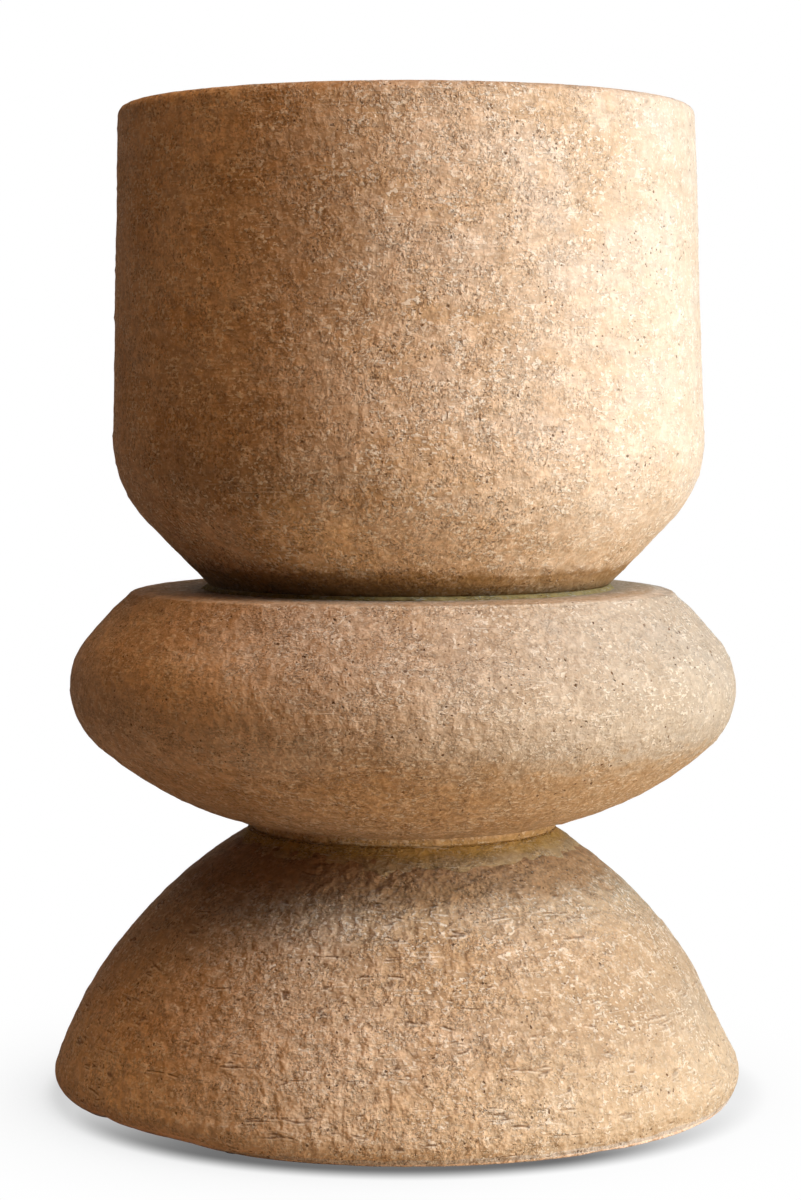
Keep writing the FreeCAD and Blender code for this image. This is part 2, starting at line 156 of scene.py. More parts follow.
def crossing(line: tuple[Point, Point], other: tuple[Point, Point]) -> Point:
    """Finds where two lines cross.

    Args:
        line: Two points of the first line.
        other: Two points of the second line.

    Returns:
        The crossing, as radius and height.
    """
    (ax, ay), (bx, by) = line
    (cx, cy), (dx, dy) = other
    turn = (bx - ax) * (dy - cy) - (by - ay) * (dx - cx)
    share = ((cx - ax) * (dy - cy) - (cy - ay) * (dx - cx)) / turn
    return ax + (bx - ax) * share, ay + (by - ay) * share


def line_meets_circle(line: tuple[Point, Point], centre: Point, radius: float) -> Point:
    """Finds where a line last leaves a circle.

    Args:
        line: Two points of the line, in the order in which it is followed.
        centre: The circle's centre.
        radius: The circle's radius.

    Returns:
        The place, as radius and height.
    """
    (ax, ay), (bx, by) = line
    run = math.dist(*line)
    ux, uy = (bx - ax) / run, (by - ay) / run
    along = (centre[0] - ax) * ux + (centre[1] - ay) * uy
    off = (centre[0] - ax) * uy - (centre[1] - ay) * ux
    reach = along + math.sqrt(radius ** 2 - off ** 2)
    return ax + ux * reach, ay + uy * reach


@dataclass
class Stretch:
    """One smooth run of an outline, with its zone."""

    points: np.ndarray
    zone: Zone


@dataclass
class Meridian:
    """A closed outline that is turned round the axis. The solid lies to the right of the way along it."""

    stretches: list[Stretch] = field(default_factory=list)

    @classmethod
    def path(cls, start: Point, *legs: tuple) -> "Meridian":
        """Lays out an outline leg by leg.

        Args:
            start: The first corner, which the last leg comes back to.
            legs: Each leg's end and zone and, where it is bowed, the centre of its arc.

        Returns:
            The outline with sharp corners.
        """
        line, here = cls(), start
        for end, zone, *centre in legs:
            points = bowed(here, end, centre[0]) if centre else straight(here, end)
            line.stretches.append(Stretch(points, zone))
            here = end
        return line

    def rounded(self, *corners: tuple[int, float, Zone]) -> "Meridian":
        """Rounds corners, from the last leg's to the first's.

        Args:
            corners: For each corner the number of the leg that ends in it, its radius and its zone.

        Returns:
            The same outline.
        """
        for index, radius, zone in corners:
            self._round(index, radius, zone)
        return self

    def _round(self, index: int, radius: float, zone: Zone) -> None:
        """Rounds the corner at the end of a leg with an arc that touches this leg and the next.

        Args:
            index: Which leg ends in the corner.
            radius: The arc's radius.
            zone: The zone of the new arc.
        """
        leg, following = self.stretches[index], self.stretches[(index + 1) % len(self.stretches)]
        before, after = leg.points, following.points
        way_in, way_out = before[-1] - before[-2], after[1] - after[0]
        side = 1.0 if way_in[0] * way_out[1] - way_in[1] * way_out[0] > 0 else -1.0
        way = np.gradient(before, axis=0)
        way /= np.linalg.norm(way, axis=1)[:, None]
        centres = before + radius * side * np.stack([-way[:, 1], way[:, 0]], axis=1)
        away = np.linalg.norm(centres[:, None, :] - after[::THINNING][None, :, :], axis=2).min(axis=1)
        first = int(np.nonzero(away >= radius)[0][-1])
        last = int(np.linalg.norm(after - centres[first], axis=1).argmin())
        leg.points, following.points = before[:first + 1], after[last:]
        arc = bowed(tuple(before[first]), tuple(after[last]), tuple(centres[first]))
        self.stretches.insert(index + 1, Stretch(arc, zone))

    def rows(self) -> tuple[np.ndarray, list[Zone]]:
        """Spaces the outline out into rows.

        Returns:
            The rows' places, as radius and height, and the zone of each.
        """
        places, zones = [], []
        for stretch in self.stretches:
            steps = np.linalg.norm(np.diff(stretch.points, axis=0), axis=1)
            reach = np.concatenate([[0.0], np.cumsum(steps)])
            count = max(1, round(reach[-1] / stretch.zone.spacing))
            wanted = np.linspace(0.0, reach[-1], count + 1)[:-1]
            places.append(np.stack([np.interp(wanted, reach, value) for value in stretch.points.T], axis=1))
            zones += [stretch.zone] * count
        return np.concatenate(places), zones


# ---------------------------------------------------------------- meshes


def ring(angle: np.ndarray, radius: float | np.ndarray, height: float | np.ndarray) -> np.ndarray:
    """Places a ring of points at angles round the axis."""
    return np.stack([radius * np.cos(angle), radius * np.sin(angle), height + np.zeros_like(angle)], 1)


def band_faces(near: np.ndarray, far: np.ndarray) -> list[tuple[int, ...]]:
    """Joins two rings of points, one of which may have a whole number of times the points of the other.

    Args:
        near: Point numbers of the first ring.
        far: Point numbers of the second ring.

    Returns:
        Faces that turn the same way all round.
    """
    if len(near) == len(far):
        return list(zip(near, np.roll(near, -1), np.roll(far, -1), far))
    coarse, fine, flip = (near, far, False) if len(near) < len(far) else (far, near, True)
    share, faces = len(fine) // len(coarse), []
    for step, corner in enumerate(coarse):
        after = coarse[(step + 1) % len(coarse)]
        fan = [fine[(step * share + k) % len(fine)] for k in range(share + 1)]
        middle = share // 2
        faces += [(corner, fan[k + 1], fan[k]) for k in range(middle)]
        faces.append((corner, after, fan[middle]))
        faces += [(after, fan[k + 1], fan[k]) for k in range(middle, share)]
    return [face[::-1] for face in faces] if flip else faces


def ring_mesh(name: str, rings: list[np.ndarray], relief: list[np.ndarray]) -> Mesh:
    """Joins rings of points into one closed band, the last ring to the first.

    Args:
        name: The mesh's name.
        rings: Each ring's points, in millimetres.
        relief: Each point's share of the relief, ring by ring.

    Returns:
        The mesh, in metres.
    """
    starts = np.cumsum([0] + [len(points) for points in rings])
    numbers = [np.arange(low, high) for low, high in zip(starts, starts[1:])]
    faces = [face for near, far in zip(numbers, numbers[1:] + numbers[:1]) for face in band_faces(near, far)]
    mesh = bpy.data.meshes.new(name)
    mesh.from_pydata((np.concatenate(rings) * MM).tolist(), [], [[int(k) for k in face] for face in faces])
    store(mesh, "relief", np.concatenate(relief))
    mesh.shade_smooth()
    return mesh


def store(mesh: Mesh, name: str, values: np.ndarray) -> None:
    """Stores a number on each point of a mesh."""
    mesh.attributes.new(name, "FLOAT", "POINT").data.foreach_set("value", values)


def smooth_step(low: float, high: float, value: np.ndarray) -> np.ndarray:
    """Eases from 0 at low to 1 at high."""
    share = np.clip((value - low) / (high - low), 0.0, 1.0)
    return share * share * (3 - 2 * share)


def lobe(turn: np.ndarray, middle: float, half: float) -> np.ndarray:
    """Gives 1 at one angle round the axis, easing to 0 at half a width to each side.

    Args:
        turn: Angles in degrees.
        middle: Where the lobe stands.
        half: Half its width.

    Returns:
        The lobe's share at each angle.
    """
    off = np.abs((turn - middle + 180.0) % 360.0 - 180.0)
    return 0.5 + 0.5 * np.cos(math.pi * np.clip(off / half, 0.0, 1.0))


def reach_of(points: np.ndarray) -> np.ndarray:
    """Gives each point's distance from the axis in millimetres."""
    return np.hypot(points[:, 0], points[:, 1]) / MM


def turn_of(points: np.ndarray) -> np.ndarray:
    """Gives each point's angle round the axis in degrees."""
    return np.degrees(np.arctan2(points[:, 1], points[:, 0]))


def read_points(mesh: Mesh) -> np.ndarray:
    """Reads a mesh's points.

    Args:
        mesh: The mesh.

    Returns:
        An array of points, in metres.
    """
    values = np.zeros(len(mesh.vertices) * 3)
    mesh.vertices.foreach_get("co", values)
    return values.reshape(-1, 3)


def write_points(mesh: Mesh, points: np.ndarray) -> None:
    """Writes a mesh's points back."""
    mesh.vertices.foreach_set("co", points.ravel())
    mesh.update()


def add_object(name: str, mesh: Mesh, node: str) -> None:
    """Links a finished mesh as a piece of the planter's fixed body.

    Args:
        name: The piece's name.
        mesh: Its mesh, in place.
        node: The CAD node that it stands for.
    """
    piece = bpy.data.objects.new(name, mesh)
    bpy.context.scene.collection.objects.link(piece)
    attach(piece, BODY)
    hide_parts(node)
    LOG.info("%s: %d faces", name, len(mesh.polygons))


# ---------------------------------------------------------------- node trees


@dataclass(frozen=True)
class Ramp:
    """An eased change, from bottom at low to top at high."""

    low: float
    high: float
    bottom: float = 0.0
    top: float = 1.0


@dataclass(frozen=True)
class Noise:
    """A noise: its lumps' size in metres, its character, its squeeze along x, y and z, and its ramp."""

    size: float
    detail: float = 2.0
    roughness: float = 0.5
    distortion: float = 0.0
    squeeze: Triple | None = None
    ramp: Ramp | None = None


def flat(squeeze: float) -> Triple:
    """Squeezes a noise in height only, which draws it out level."""
    return 1.0, 1.0, squeeze


class Nodes:
    """Adds and links nodes in a tree, shader or geometry alike."""

    def __init__(self, tree: bpy.types.NodeTree) -> None:
        """Keeps the tree that the nodes go into."""
        self.tree = tree

    def add(self, kind: str, inputs: dict[str | int, object] | None = None,
            **settings: object) -> bpy.types.Node:
        """Adds a node.

        Args:
            kind: The node's type.
            inputs: Values or sockets for its inputs, by name or number.
            settings: Its own properties.

        Returns:
            The new node.
        """
        node = self.tree.nodes.new(kind)
        for key, value in settings.items():
            setattr(node, key, value)
        for key, value in (inputs or {}).items():
            if isinstance(value, Socket):
                self.tree.links.new(value, node.inputs[key])
            else:
                node.inputs[key].default_value = value
        return node

    def math(self, operation: str, first: object, second: object = 0.0) -> Socket:
        """Works out one sum or product."""
        return self.add("ShaderNodeMath", {0: first, 1: second}, operation=operation).outputs[0]

    def less(self, first: object, second: object) -> Socket:
        """Takes the second value from the first."""
        return self.math("SUBTRACT", first, second)

    def total(self, *terms: object) -> Socket:
        """Adds any number of values."""
        return reduce(lambda result, term: self.math("ADD", result, term), terms)

    def times(self, first: object, second: object) -> Socket:
        """Multiplies two values."""
        return self.math("MULTIPLY", first, second)

    def vector(self, operation: str, first: object, second: object = (0.0, 0.0, 0.0)) -> bpy.types.Node:
        """Adds a vector sum or measure."""
        return self.add("ShaderNodeVectorMath", {0: first, 1: second}, operation=operation)

    def moved(self, place: object, way: object) -> Socket:
        """Adds two vectors."""
        return self.vector("ADD", place, way).outputs[0]

    def scaled(self, place: object, factors: Triple) -> Socket:
        """Multiplies a vector by factors."""
        return self.vector("MULTIPLY", place, factors).outputs[0]

    def parts(self, place: object) -> bpy.types.NodeOutputs:
        """Splits a vector into its three values."""
        return self.add("ShaderNodeSeparateXYZ", {0: place}).outputs

    def noise(self, place: object, kind: Noise) -> Socket:
        """Gives a noise, eased by its ramp where it has one.

        Args:
            place: Where it is taken.
            kind: Which noise it is.

        Returns:
            Its value.
        """
        if kind.squeeze:
            place = self.scaled(place, kind.squeeze)
        value = self.add("ShaderNodeTexNoise", {
            "Vector": place, "Scale": 1.0 / kind.size, "Detail": kind.detail, "Roughness": kind.roughness,
            "Distortion": kind.distortion}).outputs[0]
        return self.ramp(value, kind.ramp) if kind.ramp else value

    def ramp(self, value: object, ramp: Ramp) -> Socket:
        """Eases a value by a ramp."""
        limits = {1: ramp.low, 2: ramp.high, 3: ramp.bottom, 4: ramp.top}
        return self.add("ShaderNodeMapRange", {0: value, **limits}, interpolation_type="SMOOTHSTEP").outputs[0]

    def centred(self, value: object) -> Socket:
        """Lets a noise swing about zero."""
        return self.less(value, 0.5)

    def blend(self, share: object, first: object, second: object, mode: str = "MIX") -> Socket:
        """Mixes two colours."""
        return self.add("ShaderNodeMix", {0: share, 6: first, 7: second}, data_type="RGBA",
                        blend_type=mode).outputs[2]

    def grey(self, value: object) -> Socket:
        """Makes a grey of a value."""
        return self.add("ShaderNodeCombineColor", {0: value, 1: value, 2: value}).outputs[0]

    def stored(self, name: str) -> Socket:
        """Reads a number that is stored on the mesh."""
        return self.add("ShaderNodeAttribute", attribute_name=name, attribute_type="GEOMETRY").outputs["Fac"]


def opaque(colour: Colour) -> tuple[float, float, float, float]:
    """Adds full opacity to a colour."""
    return (*colour, 1.0)


def new_material(name: str) -> Material:
    """Starts a material.

    Args:
        name: Its name.

    Returns:
        A material with an empty tree.
    """
    material = bpy.data.materials.new(name)
    material.use_nodes = True
    material.node_tree.nodes.clear()
    return material


class Relief(Enum):
    """Inputs of the relief tree, with their names and their usual sizes in metres."""

    WAVE_HEIGHT = ("Wave height", 0.0009)
    WAVE_SIZE = ("Wave size", 0.10)
    LUMP_HEIGHT = ("Lump height", 0.0009)
    LUMP_SIZE = ("Lump size", 0.012)
    DRAG_DEPTH = ("Drag depth", 0.0005)
    DRAG_LENGTH = ("Drag length", 0.030)
    PIT_DEPTH = ("Pit depth", 0.0008)
    PIT_SIZE = ("Pit size", 0.026)

    def __init__(self, label: str, amount: float) -> None:
        """Keeps the input's name and its usual value."""
        self.label, self.amount = label, amount


class ReliefTree(Nodes):
    """Geometry nodes that give a cast surface its waves, lumps, dragged tears and pits."""

    SEED_STEP = 3.7
    WAVE_DETAIL, LUMP_DETAIL, DRAG_DETAIL = 1.0, 1.5, 2.5
    DRAG_SQUEEZE = 5.0
    DRAGGED, CHOSEN, PITTED = Ramp(0.62, 0.70), Ramp(0.70, 0.74), Ramp(0.04, 0.13, 1.0, 0.0)

    def __init__(self) -> None:
        """Builds the tree once."""
        super().__init__(bpy.data.node_groups.new("cast_relief", "GeometryNodeTree"))
        face = self.tree.interface
        face.new_socket("Geometry", in_out="INPUT", socket_type="NodeSocketGeometry")
        for item in Relief:
            socket = face.new_socket(item.label, in_out="INPUT", socket_type="NodeSocketFloat")
            socket.default_value = item.amount
        face.new_socket("Seed", in_out="INPUT", socket_type="NodeSocketInt").default_value = 1
        face.new_socket("Finish", in_out="INPUT", socket_type="NodeSocketMaterial")
        face.new_socket("Geometry", in_out="OUTPUT", socket_type="NodeSocketGeometry")
        self.given = self.add("NodeGroupInput").outputs
        self._fill()

    def _fill(self) -> None:
        """Adds the nodes."""
        given = self.given
        place = self.moved(self.add("GeometryNodeInputPosition").outputs[0],
                           self.times(given["Seed"], self.SEED_STEP))
        wave = self._swell(place, Relief.WAVE_SIZE, Relief.WAVE_HEIGHT, self.WAVE_DETAIL)
        lump = self._swell(place, Relief.LUMP_SIZE, Relief.LUMP_HEIGHT, self.LUMP_DETAIL)
        dragged, pitted = self._drags(place), self._pits(place)
        hollow = self.total(self.times(dragged, given[Relief.DRAG_DEPTH.label]),
                            self.times(pitted, given[Relief.PIT_DEPTH.label]))
        share = self.add("GeometryNodeInputNamedAttribute", {"Name": "relief"}, data_type="FLOAT").outputs[0]
        rise = self.times(share, self.less(self.total(wave, lump), hollow))
        offset = self.add("ShaderNodeVectorMath", {0: self.add("GeometryNodeInputNormal").outputs[0],
                                                   "Scale": rise}, operation="SCALE").outputs[0]
        sunk = self.times(share, self.math("MAXIMUM", dragged, pitted))
        marked = self.add("GeometryNodeStoreNamedAttribute",
                          {"Geometry": given["Geometry"], "Name": "hollow", "Value": sunk},
                          data_type="FLOAT", domain="POINT")
        moved = self.add("GeometryNodeSetPosition", {"Geometry": marked.outputs[0], "Offset": offset})
        solid = self.add("GeometryNodeRealizeInstances", {0: moved.outputs[0]})
        done = self.add("GeometryNodeSetMaterial", {"Geometry": solid.outputs[0], "Material": given["Finish"]})
        self.add("NodeGroupOutput", {0: done.outputs[0]})

    def _lumps(self, place: object, size: Relief, detail: float) -> Socket:
        """Gives noise whose size is one of the tree's inputs."""
        scale = self.math("DIVIDE", 1.0, self.given[size.label])
        return self.add("ShaderNodeTexNoise", {"Vector": place, "Scale": scale, "Detail": detail}).outputs[0]

    def _swell(self, place: object, size: Relief, height: Relief, detail: float) -> Socket:
        """Rises and falls softly, by a height and over a size that are inputs."""
        noise = self._lumps(place, size, detail)
        return self.times(self.less(self.times(noise, 2.0), 1.0), self.given[height.label])

    def _drags(self, place: object) -> Socket:
        """Gives 1 inside level, dragged tears and 0 elsewhere."""
        level = self.scaled(place, flat(self.DRAG_SQUEEZE))
        return self.ramp(self._lumps(level, Relief.DRAG_LENGTH, self.DRAG_DETAIL), self.DRAGGED)

    def _pits(self, place: object) -> Socket:
        """Gives the share of scattered pits.

        Args:
            place: Where the surface lies.

        Returns:
            1 in the middle of a pit and 0 elsewhere.
        """
        scale = self.math("DIVIDE", 1.0, self.given[Relief.PIT_SIZE.label])
        cells = self.add("ShaderNodeTexVoronoi", {"Vector": place, "Scale": scale}).outputs
        chosen = self.ramp(self.parts(cells["Color"])[0], self.CHOSEN)
        return self.times(chosen, self.ramp(cells["Distance"], self.PITTED))

    def apply(self, mesh: Mesh, seed: int, finish: Material, amounts: dict[Relief, float]) -> Mesh:
        """Gives a mesh the relief.

        Args:
            mesh: A mesh with a relief attribute on its points.
            seed: Which part of the noise it takes.
            finish: Its material.
            amounts: Inputs that differ from their usual values.

        Returns:
            A new plain mesh.
        """
        host = bpy.data.objects.new(f"{mesh.name}_plain", mesh)
        bpy.context.scene.collection.objects.link(host)
        modifier = host.modifiers.new("relief", "NODES")
        modifier.node_group = self.tree
        values = {"Seed": seed, "Finish": finish, **{item.label: amount for item, amount in amounts.items()}}
        for item in self.tree.interface.items_tree:
            if item.in_out == "INPUT" and item.name in values:
                modifier[item.identifier] = values[item.name]
        depsgraph = bpy.context.evaluated_depsgraph_get()
        made = bpy.data.meshes.new_from_object(host.evaluated_get(depsgraph), preserve_all_data_layers=True,
                                               depsgraph=depsgraph)
        made.name = mesh.name.replace("_rows", "")
        host.modifiers.remove(modifier)
        bpy.data.objects.remove(host)
        bpy.data.meshes.remove(mesh)
        return made


# ---------------------------------------------------------------- finishes


@dataclass(frozen=True)
class Stain:
    """A band of another colour between two heights; some are stains, others painted light or shade.

    ragged is how far its edges wander, soft over what height they fade, jag how long a wander is, and
    hides the share of the pale marks that it covers.
    """

    low: float
    high: float
    colour: Colour
    amount: float
    ragged: float = 6.0
    soft: float = 6.0
    jag: float = 20.0
    hides: float = 0.0


@dataclass(frozen=True)
class Smudge:
    """Painted light or shade: a broad, soft patch of paler or darker colour round one spot, in millimetres."""

    spot: Triple
    reach: float
    colour: Colour
    amount: float


class Cast:
    """The noises and ramps of the cast surface."""

    PATCHES = Noise(0.075, 4.0, 0.6, 0.4)
    STREAKS = Noise(0.06, 4.0, 0.6, squeeze=flat(4.0))
    CLOUDS = Noise(0.05, 5.0, 0.65, squeeze=flat(1.8), ramp=Ramp(0.50, 0.70, 0.0, 0.6))
    MIST = Noise(0.09, 4.0, 0.6, 0.6, (1.3, 1.3, 2.0), Ramp(0.50, 0.66, 0.0, 0.55))
    SUN_DRIFT = Noise(0.12, 3.0)
    SMUDGE_DRIFT = Noise(0.05, 4.0, 0.6, squeeze=flat(2.0))
    STAIN_DRIFT = Noise(0.02, 3.0, squeeze=flat(2.5))

    LUMPS = Noise(0.0075)
    FINE = Noise(0.0022, 3.0, 0.62)
    CRUMBS = Noise(0.0029, 2.0, 0.55, 0.2)
    BANDS = Noise(0.012, 3.0, squeeze=flat(4.0))
    WORN = Noise(0.022, 3.0, squeeze=flat(1.6), ramp=Ramp(0.42, 0.60, 1.0, 0.20))
    CLUMPS = Noise(0.028, 3.0)
    GRIT = Noise(0.0036, 1.0, squeeze=flat(1.4), ramp=Ramp(0.585, 0.635))
    SCRATCHES = Noise(0.026, squeeze=flat(18.0), ramp=Ramp(0.63, 0.67))
    TEAR_WANDER = Noise(0.085, 2.5, squeeze=flat(9.0))
    TEAR_AREAS = Noise(0.026, squeeze=flat(2.6), ramp=Ramp(0.56, 0.62))
    TEAR_BREAKS = Noise(0.007, ramp=Ramp(0.38, 0.52))
    PIT_AREAS = Noise(0.03, ramp=Ramp(0.48, 0.58, 0.12, 1.0))
    PIT_EDGES = Noise(0.0017, 1.0)

    TO_TAN = Ramp(0.38, 0.58)
    PALER = Ramp(0.0, 0.6, 0.4, 1.0)
    CALM = Ramp(0.0, 1.0, 1.15, 0.42)
    WHOLE = Ramp(0.1, 1.0, 1.0, 0.5)
    IN_HOLLOWS = Ramp(0.32, 0.39, 1.0, 0.0)
    ON_GRAINS = Ramp(0.56, 0.63)
    TONE = Ramp(0.16, 0.64, 0.68, 1.28)
    CLUMPED = Ramp(0.42, 0.56, 0.30, 1.0)
    SCRATCHED = Ramp(0.44, 0.56, 0.1, 1.0)
    CHALKED = Ramp(0.54, 0.62)
    TEAR_LINE = Ramp(0.004, 0.034, 1.0, 0.0)
    PIT_MIDDLE = Ramp(0.06, 0.20, 1.0, 0.0)
    FRESH = Ramp(0.35, 0.55, 0.0, 0.8)


class Cover:
    """How strongly each kind of mark covers the colour below it."""

    # The hollow, tear, pit and sunk covers darken recesses with painted shade; the grain, raised-top, lip and
    # rim covers put painted highlight, partly wear, on raised tops and just below tears and pits.
    HOLLOW, GRAIN, SPECK, CHALK, SCRATCH = 0.48, 0.28, 0.75, 0.42, 0.42
    LIP, RIM, TEAR, PIT, SUNK = 0.60, 0.40, 0.74, 0.78, 0.12


class Rise:
    """How far each kind of mark rises, in metres."""

    LUMP, ROUGH, GRAIN, HOLLOW = 0.0022, 0.0011, 0.0008, -0.0009
    TEAR, PIT, SPECK, SCRATCH = -0.0004, -0.0009, 0.0004, 0.0002


@dataclass(frozen=True)
class EarthenFinish:
    """Rough-cast, hand-rubbed, warm brown cement in patches, with specks, pits and drag marks, and with
    painted light and shade on its lit side, its raised tops and its recesses.
    """

    name: str
    stains: tuple[Stain, ...] = ()
    smudges: tuple[Smudge, ...] = ()
    ochre: Colour = (0.58, 0.39, 0.23)
    tan: Colour = (0.68, 0.51, 0.37)
    # pale and haze are patches laid mostly on the lit side, as painted light.
    pale: Colour = (0.80, 0.67, 0.55)
    haze: Colour = (0.65, 0.545, 0.475)
    # The pale of specks and scratches, and of the painted highlights.
    speck: Colour = (0.94, 0.88, 0.80)
    # Painted shade of the recesses.
    soot: Colour = (0.14, 0.065, 0.022)
    core: Colour = (0.96, 0.76, 0.64)
    # Painted light: the lit side's colour and its share; shade_edge moves where the lit side begins.
    bleach: Colour = (0.75, 0.69, 0.62)
    tint: Colour = (1.0, 1.0, 1.0)
    bleached: float = 0.5
    shade_edge: float = 0.0
    grain: float = 1.0
    lumps: float = 1.0
    lump_size: float = 1.0
    fibre: float = 1.0
    cracks: float = 0.5
    pits: float = 1.0
    specks: float = 1.0
    shift: float = 0.0


class EarthenCoat(Nodes):
    """The shader tree of one earthen finish."""

    PATCH_SHARE, STREAK_SHARE = 0.65, 0.35
    ROUGH_SHARE, LUMP_SHARE, BAND_SHARE = 1.2, 0.45, 0.35
    SUN_WANDER, SUN_WIDTH = 0.12, 0.24
    LIP_DROP, RIM_DROP, LIP_RISE = 1.3, 0.8, -0.6
    LARGE_PITS, SMALL_PITS = (0.0068, 0.55), (0.0042, 0.58)
    LOT_EDGE, PIT_RAGGED = 0.02, 0.45
    SMUDGE_CORE, STAIN_WANDER = 0.3, 2.5
    ROUGHNESS, SHEEN = 0.9, 0.15

    def __init__(self, finish: EarthenFinish) -> None:
        """Starts the material and finds where the surface lies and how much sun it had.

        Args:
            finish: The finish.
        """
        self.finish, self.material = finish, new_material(finish.name)
        super().__init__(self.material.node_tree)
        here = self.add("ShaderNodeTexCoord").outputs["Object"]
        self.place = self.moved(here, (finish.shift, finish.shift, 0.0))
        self.sunny = self._sunny()

    def build(self) -> Material:
        """Lays the ground colour, the marks on it and the relief that catches the light.

        Returns:
            A material that reads Object coordinates and the hollow and broken attributes.
        """
        finish, place = self.finish, self.place
        # Painted light: the lit side gets a weaker darkening tone and a calmer relief than the shaded side.
        calm = self.ramp(self.sunny, Cast.CALM)
        colour, bare = self._ground()

        lumps = self.noise(place, replace(Cast.LUMPS, size=Cast.LUMPS.size * finish.lump_size))
        fine, crumbs = (self.noise(place, replace(kind, squeeze=flat(finish.fibre)))
                        for kind in (Cast.FINE, Cast.CRUMBS))
        rubbed = self.times(self.noise(place, Cast.WORN), calm)
        rough = self.times(self.centred(fine), rubbed)
        hollows = self.times(self.ramp(crumbs, Cast.IN_HOLLOWS), self.times(rubbed, finish.grain))
        grains = self.times(self.ramp(crumbs, Cast.ON_GRAINS),
                            self.times(rubbed, self.times(bare, finish.grain)))
        # The tone follows the relief, darker where it is low and lighter where it is high, which is painted
        # shade and light, with random level bands.
        tone = self.total(self.times(rough, self.ROUGH_SHARE * finish.grain),
                          self.times(lumps, self.LUMP_SHARE),
                          self.times(self.noise(place, Cast.BANDS), self.BAND_SHARE))
        colour = self.blend(calm, colour, self.grey(self.ramp(tone, Cast.TONE)), "MULTIPLY")

        clumps = self.noise(place, Cast.CLUMPS)
        clumped = self.times(self.ramp(clumps, Cast.CLUMPED), bare)
        specks = self.times(self.noise(place, Cast.GRIT), clumped)
        # Painted highlight, partly wear: pale on the highest lumps in clumps.
        high = self.total(self.times(lumps, 0.5), self.times(fine, 0.5))
        chalk = self.times(self.ramp(high, Cast.CHALKED), clumped)
        scratched = self.times(self.noise(place, Cast.SCRATCHES),
                               self.times(self.ramp(clumps, Cast.SCRATCHED), bare))
        whole = self.ramp(self.sunny, Cast.WHOLE)
        torn = self.times(self._torn(place), whole)
        # Painted highlights: tears and pits are looked for a little higher up, so their pale lip and rim fall
        # just below them.
        lip = self.times(self._torn(self._above(self.LIP_DROP)), self.times(whole, bare))
        holes, rims = self._holes(place), self._holes(self._above(self.RIM_DROP))
        # Recesses take painted shade; raised tops and the lower edges of tears and pits take painted
        # highlight, partly wear; specks and scratches are the cement's own pale marks.
        for share, cover, paint in (
            (hollows, Cover.HOLLOW, finish.soot),
            (grains, Cover.GRAIN, finish.speck),
            (specks, Cover.SPECK * finish.specks, finish.speck),
            (chalk, Cover.CHALK * finish.specks, finish.speck),
            (scratched, Cover.SCRATCH, finish.speck),
            (lip, Cover.LIP, finish.speck),
            (rims, Cover.RIM, finish.speck),
            (torn, Cover.TEAR, finish.soot),
            (holes, Cover.PIT, finish.soot),
            (self.stored("hollow"), Cover.SUNK, finish.soot),
        ):
            colour = self.blend(self.times(share, cover), colour, opaque(paint))
        colour = self.blend(self.ramp(self.stored("broken"), Cast.FRESH), colour, opaque(finish.core))

        height = self.total(*(self.times(share, rise) for share, rise in (
            (lumps, Rise.LUMP * finish.lumps * finish.lump_size), (rough, Rise.ROUGH * finish.grain),
            (grains, Rise.GRAIN), (hollows, Rise.HOLLOW),
            (self.math("ADD", torn, self.times(lip, self.LIP_RISE)), Rise.TEAR),
            (holes, Rise.PIT), (specks, Rise.SPECK), (scratched, Rise.SCRATCH))))
        bump = self.add("ShaderNodeBump", {"Height": height, "Distance": 1.0, "Strength": 1.0})
        shader = self.add("ShaderNodeBsdfPrincipled", {"Base Color": colour, "Roughness": self.ROUGHNESS,
                                                       "Specular IOR Level": self.SHEEN,
                                                       "Normal": bump.outputs[0]})
        self.add("ShaderNodeOutputMaterial", {0: shader.outputs[0]})
        return self.material

    def _ground(self) -> tuple[Socket, object]:
        """Lays the patches, the painted light of the lit side, the patches of painted light and shade and the
        colour bands.

        Returns:
            The colour, and the share of pale marks that stays.
        """
        finish = self.finish
        # Painted light: the lit side is blended toward its own colour, paler on the pot, darker and greyer on
        # the disc and the dome.
        colour = self.blend(self.times(self.sunny, finish.bleached), self._patches(), opaque(finish.bleach))
        # Patches of painted light and shade.
        for smudge in finish.smudges:
            colour = self.blend(self._smudged(smudge), colour, opaque(smudge.colour))
        bare = 1.0
        for stain in finish.stains:
            inside = self._inside(stain)
            colour = self.blend(self.times(inside, stain.amount), colour, opaque(stain.colour))
            if stain.hides:
                bare = self.times(bare, self.less(1.0, self.times(inside, stain.hides)))
        return colour, bare

    def _patches(self) -> Socket:
        """Gives the broad patches of ochre and tan, with pale and haze patches, painted light, mostly on the
        lit side.

        Returns:
            The colour.
        """
        finish, share = self.finish, self.ramp(self.sunny, Cast.PALER)
        mixed = self.total(self.times(self.noise(self.place, Cast.PATCHES), self.PATCH_SHARE),
                           self.times(self.noise(self.place, Cast.STREAKS), self.STREAK_SHARE))
        colour = self.blend(self.ramp(mixed, Cast.TO_TAN), opaque(finish.ochre), opaque(finish.tan))
        for kind, paint in ((Cast.CLOUDS, finish.pale), (Cast.MIST, finish.haze)):
            colour = self.blend(self.times(self.noise(self.place, kind), share), colour, opaque(paint))
        return self.blend(1.0, colour, opaque(finish.tint), "MULTIPLY")

    def _sunny(self) -> Socket:
        """Gives the share of the lit side, +X, whose colour is painted light and whose relief is worn
        smoother.

        Returns:
            1 on the lit side, easing to 0 on the other.
        """
        drift = self.times(self.centred(self.noise(self.place, Cast.SUN_DRIFT)), self.SUN_WANDER)
        across = self.math("ADD", self.parts(self.place)[0], drift)
        edge = self.finish.shift + self.finish.shade_edge
        return self.ramp(across, Ramp(edge, edge + self.SUN_WIDTH))

